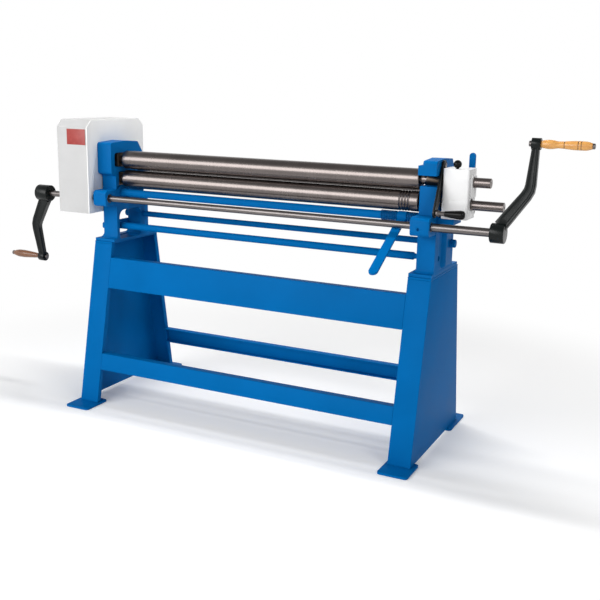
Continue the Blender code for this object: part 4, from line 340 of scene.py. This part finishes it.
def turn_steel(name, node, profile, axis, body, material, sides=72, smooth=24.0):
    """Surface of revolution about the x line through axis (y, z): x(v), y = r(v) cos u, z = r(v) sin u.

    The profile runs from axis to axis in datum metres, so the skin is closed.
    """
    rows = np.array(profile, float)
    if rows[0, 0] > rows[-1, 0]:
        rows = rows[::-1]
    around = np.linspace(0.0, 2 * pi, sides, endpoint=False)
    inner = rows[1:-1]
    points = np.column_stack((
        np.repeat(inner[:, 0], sides),
        np.outer(inner[:, 1], np.cos(around)).ravel() + axis[0],
        np.outer(inner[:, 1], np.sin(around)).ravel() + axis[1]))
    tips = [[rows[0, 0], axis[0], axis[1]], [rows[-1, 0], axis[0], axis[1]]]
    set_skin(name, node, np.vstack((points, tips)) + DATUM, closed_skin(len(inner), sides, reverse=True),
             body, material, smooth)


def ground_steel(name, colour, roughness, lines, depth):
    """Steel with the marks of turning or grinding: noise drawn out round the axis, close along x."""
    material = bpy.data.materials.new(name)
    material.use_nodes = True
    tree = material.node_tree
    shader = tree.nodes["Principled BSDF"]
    shader.inputs["Metallic"].default_value = 1.0
    where = tree.nodes.new("ShaderNodeTexCoord")
    stretch = tree.nodes.new("ShaderNodeMapping")
    stretch.inputs["Scale"].default_value = (lines, 6.0, 6.0)
    tree.links.new(where.outputs["Object"], stretch.inputs["Vector"])
    marks = tree.nodes.new("ShaderNodeTexNoise")
    marks.inputs["Scale"].default_value = 1.0
    marks.inputs["Detail"].default_value = 6.0
    marks.inputs["Roughness"].default_value = 0.65
    tree.links.new(stretch.outputs[0], marks.inputs["Vector"])
    stains = tree.nodes.new("ShaderNodeTexNoise")
    stains.inputs["Scale"].default_value = 9.0
    stains.inputs["Detail"].default_value = 6.0
    tree.links.new(where.outputs["Object"], stains.inputs["Vector"])
    tone = tree.nodes.new("ShaderNodeValToRGB")
    tone.color_ramp.elements[0].position = 0.3
    tone.color_ramp.elements[0].color = (*[c * 0.80 for c in colour], 1.0)
    tone.color_ramp.elements[1].position = 0.7
    tone.color_ramp.elements[1].color = (*[min(1.0, c * 1.12) for c in colour], 1.0)
    mixed = tree.nodes.new("ShaderNodeMix")
    mixed.data_type = "FLOAT"
    mixed.inputs["Factor"].default_value = 0.45
    tree.links.new(marks.outputs["Fac"], mixed.inputs["A"])
    tree.links.new(stains.outputs["Fac"], mixed.inputs["B"])
    tree.links.new(mixed.outputs["Result"], tone.inputs["Fac"])
    tree.links.new(tone.outputs["Color"], shader.inputs["Base Color"])
    rough = tree.nodes.new("ShaderNodeMapRange")
    rough.inputs["To Min"].default_value = roughness - 0.04
    rough.inputs["To Max"].default_value = roughness + 0.06
    tree.links.new(stains.outputs["Fac"], rough.inputs["Value"])
    tree.links.new(rough.outputs[0], shader.inputs["Roughness"])
    bump = tree.nodes.new("ShaderNodeBump")
    bump.inputs["Strength"].default_value = 0.35
    bump.inputs["Distance"].default_value = depth
    tree.links.new(marks.outputs["Fac"], bump.inputs["Height"])
    tree.links.new(bump.outputs["Normal"], shader.inputs["Normal"])
    return material


roll_steel = ground_steel("ground_roll_steel", (0.172, 0.150, 0.143), 0.26, 700.0, 0.00001)
shaft_steel = ground_steel("drawn_shaft_steel", (0.165, 0.150, 0.146), 0.30, 500.0, 0.00002)


# Pinch rolls and rear roll: alloy bar turned and ground, each with its barrel, stepped journals,
# centre holes in the ends and, on the lower and rear rolls, the wire grooves by the right end.
ROLL_R = 0.0375
CHAMFER = 0.002
EDGE_BREAK = 0.0006
SHOULDER_FILLET = 0.0012
JOURNAL_CHAMFER = 0.0016
CENTRE_HOLE_R, CENTRE_HOLE_DEPTH = 0.0052, 0.006
GROOVE_INSET, GROOVE_PITCH = 0.035, 0.011
GROOVE_HALF_WIDTH, GROOVE_DEPTH = 0.0040, 0.0030
SHADING_ROW = 0.004
BARREL_LEFT, PINCH_BARREL_RIGHT, REAR_BARREL_RIGHT = -0.625, 0.665, 0.645
PINCH_JOURNAL_R, REAR_JOURNAL_R = 0.0175, 0.012
TOP_AXIS, LOWER_AXIS, REAR_AXIS = (0.0, 1.0215), (0.0, 0.9420), (0.086, 0.941)


def roll_profile(left_end, right_end, barrel_left, barrel_right, journal, grooves):
    """Half section of a roll from its left centre hole to its right one.

    A groove's radius is ROLL_R - depth (1 - t t), with t from -1 to 1 across it. One more row close
    to each chamfer keeps the shading of the long barrel straight.
    """
    def end(x, inward):
        return [(x + inward * (CENTRE_HOLE_DEPTH + 0.001), 0.0), (x + inward * CENTRE_HOLE_DEPTH, 0.0018),
                (x, CENTRE_HOLE_R), (x, journal - JOURNAL_CHAMFER), (x + inward * JOURNAL_CHAMFER, journal)]

    def shoulder(x, inward):
        return [(x - inward * SHOULDER_FILLET, journal), (x, journal + SHOULDER_FILLET),
                (x, ROLL_R - CHAMFER), (x + inward * EDGE_BREAK, ROLL_R - EDGE_BREAK),
                (x + inward * CHAMFER, ROLL_R), (x + inward * (CHAMFER + SHADING_ROW), ROLL_R)]

    rows = end(left_end, 1) + shoulder(barrel_left, 1)
    across = np.linspace(-1.0, 1.0, 7)
    for index in reversed(range(grooves)):
        middle = barrel_right - GROOVE_INSET - index * GROOVE_PITCH
        rows += zip(middle + GROOVE_HALF_WIDTH * across, ROLL_R - GROOVE_DEPTH * (1 - across * across))
    return rows + shoulder(barrel_right, -1)[::-1] + end(right_end, -1)[::-1]


for node, axis, barrel_right, grooves, journal in (
        ("top_roll", TOP_AXIS, PINCH_BARREL_RIGHT, 0, PINCH_JOURNAL_R),
        ("lower_roll", LOWER_AXIS, PINCH_BARREL_RIGHT, 4, PINCH_JOURNAL_R),
        ("rear_roll", REAR_AXIS, REAR_BARREL_RIGHT, 4, REAR_JOURNAL_R)):
    low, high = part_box(node)
    profile = roll_profile(low.x - DATUM[0], high.x - DATUM[0], BARREL_LEFT, barrel_right, journal, grooves)
    turn_steel(f"{node}_turned", node, profile, axis, f"{node}_body", roll_steel, sides=96)


# Front drive shaft: drawn bar, thicker outside the right boss, turned down square at the step. It
# carries the pinion inside the gear cover and a crank on each end.
THIN_R, THICK_R = 0.0125, 0.0150
STEP_PAST_BUSH = 0.0013
shaft_low, shaft_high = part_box("drive_shaft")
pinion_low, pinion_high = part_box("drive_pinion")
shaft_axis = ((pinion_low.y + pinion_high.y) / 2 - DATUM[1], (pinion_low.z + pinion_high.z) / 2)
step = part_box("right_shaft_bush")[1].x - DATUM[0] + STEP_PAST_BUSH
left_tip, right_tip = shaft_low.x - DATUM[0], shaft_high.x - DATUM[0]
turn_steel("drive_shaft_turned", "drive_shaft", [
    (left_tip, 0.0), (left_tip, THIN_R - 0.001), (left_tip + 0.001, THIN_R), (step - 0.0004, THIN_R),
    (step, THIN_R + 0.0004), (step, THICK_R - 0.0008), (step + 0.0008, THICK_R),
    (right_tip - 0.001, THICK_R), (right_tip, THICK_R - 0.001), (right_tip, 0.0)],
    shaft_axis, "drive", shaft_steel, sides=64)


# Rear pivot shaft and the two tie rods: plain bar, the rods painted with the frame. The rear rod has
# a nut outside each casting; the lower one sits in its strap, with a neck and collar at the right.
PIVOT_R = 0.0125
PIVOT_AXIS = (0.145, 0.904)
pivot_low, pivot_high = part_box("rear_pivot_shaft")
pivot_left, pivot_right = pivot_low.x - DATUM[0], pivot_high.x - DATUM[0]
turn_steel("rear_pivot_turned", "rear_pivot_shaft", [
    (pivot_left, 0.0), (pivot_left, PIVOT_R - 0.001), (pivot_left + 0.001, PIVOT_R),
    (pivot_right - 0.001, PIVOT_R), (pivot_right, PIVOT_R - 0.001), (pivot_right, 0.0)],
    PIVOT_AXIS, "rear_swing", shaft_steel, sides=48)
round_off("rear_tie_rod", 0.0007, sheet_blue, angle=40.0)
round_off("lower_tie_rod", 0.0007, sheet_blue, angle=40.0)


# Return springs: hard-drawn wire painted with the shaft, close round it on both sides of the clamp lever's
# hub. Their blue is painted darker than the shaft's, as painted shade between the close coils. Each is
# swept along a helix with flat ends.
shaded_spring_blue = enamel("spring_blue_painted_shade_enamel", (0.0003, 0.10, 0.31), 0.0001, 0.42, 0.0, 0.10)
CLAMP_AXIS = np.array([0.0, -0.008 + DATUM[1], 0.884])


def wound_spring(name, node, turns, wire=0.0036, pitch=0.0063, bore=0.0155, rings=28, sides=12):
    """Tube about a helix: centre (x0 + p t, R cos 2 pi t, R sin 2 pi t), rings of the wire's radius."""
    mean = bore + wire / 2
    t = np.linspace(0.0, turns, int(turns * rings) + 1)
    angle = 2 * pi * t
    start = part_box(node)[0].x + wire / 2
    centre = np.column_stack((start + pitch * t, mean * np.cos(angle), mean * np.sin(angle))) + CLAMP_AXIS
    out = np.column_stack((np.zeros_like(t), np.cos(angle), np.sin(angle)))
    along = np.column_stack((np.full_like(t, pitch), -2 * pi * mean * np.sin(angle),
                             2 * pi * mean * np.cos(angle)))
    along /= np.linalg.norm(along, axis=1)[:, None]
    side = np.cross(along, out)
    s = np.linspace(0.0, 2 * pi, sides, endpoint=False)[None, :, None]
    skin = centre[:, None] + wire / 2 * (np.cos(s) * out[:, None] + np.sin(s) * side[:, None])
    points = np.vstack((skin.reshape(-1, 3), centre[:1], centre[-1:]))
    set_skin(name, node, points, closed_skin(len(t), sides), "clamp", shaded_spring_blue)


wound_spring("left_return_spring", "left_clamp_spring", 10)
wound_spring("right_return_spring", "right_clamp_spring", 7)


# Gears and bearings: cut steel, dark with oil, and cast bronze bushes and blocks. The bronze is painted
# dark, a painted shade of the pockets and jaws it sits in. All of them keep the teeth and bores of the
# solids and get a fine broken edge.
gear_steel = ground_steel("oiled_gear_steel", (0.20, 0.185, 0.175), 0.42, 160.0, 0.00012)
bronze_painted_shade = ground_steel("bearing_bronze_painted_shade_cast", (0.11, 0.085, 0.065), 0.42, 240.0, 0.00010)
for node, body in (("main_gear", "top_roll_body"), ("top_roll_gear", "top_roll_body"),
                   ("lower_roll_gear", "lower_roll_body"), ("idler_gear", "idler"),
                   ("drive_pinion", "drive")):
    round_off(node, 0.0004, gear_steel, segments=1, body=body, angle=50.0)
for node, body in (("left_shaft_bush", "machine_frame"), ("right_shaft_bush", "machine_frame"),
                   ("top_roll_bush", "machine_frame"), ("top_roll_block", "machine_frame"),
                   ("lower_left_block", "lower_carriage"), ("lower_right_block", "lower_carriage")):
    round_off(node, 0.0006, bronze_painted_shade, segments=2, body=body, angle=40.0)
round_off("idler_stud", 0.0005, shaft_steel, segments=2, angle=40.0)
round_off("lock_pin", 0.0005, shaft_steel, segments=2, angle=40.0)


# Cranks: iron castings in black enamel, one boss and one eye each, with the bar's edges rounded.
# The grip spindles are turned bar with a round nut behind the eye and a cap at the end of the grip.
NUT_R, NUT_LENGTH = 0.0098, 0.009
CAP_R, CAP_LENGTH = 0.0095, 0.0087
STEM_R, RIM_R = 0.006, 0.0085
for node in ("right_crank_arm", "left_crank_arm"):
    round_off(node, 0.0022, black_iron, angle=40.0, body="drive")
for node, side in (("right_spindle", 1), ("left_spindle", -1)):
    low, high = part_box(node)
    axis = ((low.y + high.y) / 2 - DATUM[1], (low.z + high.z) / 2)
    ends = [low.x - DATUM[0], high.x - DATUM[0]]
    inner, outer = ends if side > 0 else ends[::-1]
    turn_steel(f"{node}_turned", node, [
        (inner, 0.0), (inner, RIM_R), (inner + side * 0.0015, NUT_R), (inner + side * 0.0075, NUT_R),
        (inner + side * NUT_LENGTH, RIM_R), (inner + side * NUT_LENGTH, STEM_R),
        (outer - side * CAP_LENGTH, STEM_R), (outer - side * CAP_LENGTH, RIM_R),
        (outer - side * 0.0080, CAP_R), (outer - side * 0.003, CAP_R), (outer - side * 0.0008, 0.0082),
        (outer, 0.0055), (outer, 0.0)],
        axis, "drive", shaft_steel, sides=48)


# Right grip: turned and varnished beech, honey coloured, with three burnt rings. Left grip: the
# same wood stained dark brown.
def varnished_wood(name, pale, dark, rings):
    """Wood with its grain along x: noise drawn out along x between two tones, and burnt bands at rings."""
    material = bpy.data.materials.new(name)
    material.use_nodes = True
    tree = material.node_tree
    shader = tree.nodes["Principled BSDF"]
    shader.inputs["Coat Weight"].default_value = 0.5
    shader.inputs["Coat Roughness"].default_value = 0.15
    shader.inputs["Roughness"].default_value = 0.42
    where = tree.nodes.new("ShaderNodeTexCoord")
    stretch = tree.nodes.new("ShaderNodeMapping")
    stretch.inputs["Scale"].default_value = (14.0, 220.0, 220.0)
    tree.links.new(where.outputs["Object"], stretch.inputs["Vector"])
    grain = tree.nodes.new("ShaderNodeTexNoise")
    grain.inputs["Scale"].default_value = 1.0
    grain.inputs["Detail"].default_value = 5.0
    tree.links.new(stretch.outputs[0], grain.inputs["Vector"])
    tone = tree.nodes.new("ShaderNodeValToRGB")
    tone.color_ramp.elements[0].position = 0.32
    tone.color_ramp.elements[0].color = (*dark, 1.0)
    tone.color_ramp.elements[1].position = 0.66
    tone.color_ramp.elements[1].color = (*pale, 1.0)
    tree.links.new(grain.outputs["Fac"], tone.inputs["Fac"])
    colour = tone.outputs["Color"]
    split = tree.nodes.new("ShaderNodeSeparateXYZ")
    tree.links.new(where.outputs["Object"], split.inputs[0])
    for place, width in rings:
        near = tree.nodes.new("ShaderNodeMath")
        near.operation = "COMPARE"
        near.inputs[1].default_value = place
        near.inputs[2].default_value = width
        tree.links.new(split.outputs["X"], near.inputs[0])
        burnt = tree.nodes.new("ShaderNodeMix")
        burnt.data_type = "RGBA"
        burnt.inputs["B"].default_value = (0.05, 0.018, 0.006, 1.0)
        tree.links.new(near.outputs[0], burnt.inputs["Factor"])
        tree.links.new(colour, burnt.inputs["A"])
        colour = burnt.outputs["Result"]
    tree.links.new(colour, shader.inputs["Base Color"])
    bump = tree.nodes.new("ShaderNodeBump")
    bump.inputs["Strength"].default_value = 0.2
    bump.inputs["Distance"].default_value = 0.0002
    tree.links.new(grain.outputs["Fac"], bump.inputs["Height"])
    tree.links.new(bump.outputs["Normal"], shader.inputs["Normal"])
    return material


def grip_skin(node, radius, outline, rings=()):
    """Half section of a grip from its bore at one end, out and along, and back into the bore.

    The outline gives shares of the radius at shares of the length; it is evened out over five steps,
    and a shallow groove exp(-((s - ring) / 0.006) ^ 2) is cut at each ring.
    """
    low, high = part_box(node)
    start, end = (low.x, high.x) if node.startswith("right") else (high.x, low.x)
    axis = ((low.y + high.y) / 2 - DATUM[1], (low.z + high.z) / 2)
    share = np.linspace(0.0, 1.0, 60)
    marks = np.array(outline)
    size = np.interp(share, marks[:, 0], marks[:, 1])
    kernel = np.array([1, 2, 3, 2, 1]) / 9.0
    soft = np.convolve(np.pad(size, 2, "edge"), kernel, "valid") * radius
    for place in rings:
        soft -= 0.0007 * np.exp(-((share - place) / 0.006) ** 2)
    along = start + (end - start) * share - DATUM[0]
    rows = [(along[0], 0.0), (along[0], soft[0] - 0.0012), *zip(along, soft),
            (along[-1], soft[-1] - 0.0012), (along[-1], 0.0)]
    return rows, axis, [start + (end - start) * place for place in rings]


rows, axis, places = grip_skin(
    "right_grip", 0.0155,
    [(0.0, 0.74), (0.04, 0.84), (0.14, 1.0), (0.24, 0.96), (0.32, 0.74), (0.42, 0.76), (0.60, 0.94),
     (0.74, 1.0), (0.90, 0.96), (0.97, 0.76), (1.0, 0.60)], rings=(0.46, 0.73, 0.79))
honey_wood = varnished_wood("honey_beech", (0.78, 0.40, 0.105), (0.60, 0.26, 0.055),
                            [(place, 0.0011) for place in places])
turn_steel("right_grip_turned", "right_grip", rows, axis, "right_grip_body", honey_wood,
           sides=64)
rows, axis, places = grip_skin(
    "left_grip", 0.0165,
    [(0.0, 0.62), (0.06, 0.66), (0.12, 0.62), (0.16, 0.70), (0.35, 0.84), (0.60, 1.0), (0.80, 0.98),
     (0.93, 0.78), (1.0, 0.50)])
brown_wood = varnished_wood("brown_beech", (0.20, 0.075, 0.022), (0.11, 0.036, 0.012), [])
turn_steel("left_grip_turned", "left_grip", rows, axis, "left_grip_body", brown_wood,
           sides=64)


# Lock lever: a dark steel strap with a turned rod through its foot and a moulded black grip, which
# swells away from the rod and closes in a dome: r = R dome(s) taper(s).
LOCK_GRIP_R = 0.0155
round_off("lock_arm", 0.0010, black_iron, body="lock", angle=40.0)
round_off("lock_rod", 0.0006, shaft_steel, body="lock", segments=2, angle=40.0)
black_plastic = enamel("moulded_black_plastic", (0.003, 0.003, 0.003), 0.00005, 0.24, 0.0, 0.15)
grip_low, grip_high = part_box("lock_grip")
lock_axis = ((grip_low.y + grip_high.y) / 2 - DATUM[1], (grip_low.z + grip_high.z) / 2)
share = np.linspace(0.0, 1.0, 40)
dome = np.sqrt(np.clip(1 - np.clip((share - 0.80) / 0.20, 0, 1) ** 2.6, 0, 1))
taper = 0.60 + 0.40 * np.clip(share / 0.72, 0, 1) ** 0.9
swell = LOCK_GRIP_R * dome * taper
along = grip_low.x - DATUM[0] + (grip_high.x - grip_low.x) * share
turn_steel("lock_grip_moulded", "lock_grip", [
    (along[0], 0.0), (along[0], swell[0] - 0.0010), *zip(along[:-1], swell[:-1]), (along[-1], 0.0)],
    lock_axis, "lock", black_plastic, sides=56, smooth=50.0)


# Index plunger: a black ball moulded on its stem, standing on the housing. The skin turns about z:
# x = r(v) cos u, y = r(v) sin u, and the ball has a small flat where the stem enters it.
BALL_R, STEM_RADIUS, STEM_ANGLE = 0.0143, 0.0048, 0.30
plunger_low, plunger_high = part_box("index_plunger")
ball_x = (plunger_low.x + plunger_high.x) / 2
ball_y = (plunger_low.y + plunger_high.y) / 2
ball_z = plunger_high.z - BALL_R - 0.0001
latitude = np.linspace(-pi / 2 + STEM_ANGLE, pi / 2, 30)
stem = [[0.0040, plunger_low.z + 0.0008], [STEM_RADIUS, plunger_low.z + 0.003],
        [STEM_RADIUS, ball_z - BALL_R * cos(STEM_ANGLE)]]
globe = np.column_stack((BALL_R * np.cos(latitude), ball_z + BALL_R * np.sin(latitude)))
rows = np.vstack((stem, globe[:-1]))
ball_sides = 48
around = np.linspace(0.0, 2 * pi, ball_sides, endpoint=False)
points = np.column_stack((
    np.outer(rows[:, 0], np.cos(around)).ravel() + ball_x,
    np.outer(rows[:, 0], np.sin(around)).ravel() + ball_y,
    np.repeat(rows[:, 1], ball_sides)))
tips = [[ball_x, ball_y, plunger_low.z], [ball_x, ball_y, globe[-1, 1]]]
set_skin("plunger_ball", "index_plunger", np.vstack((points, tips)), closed_skin(len(rows), ball_sides),
         "plunger", black_plastic, smooth=40)
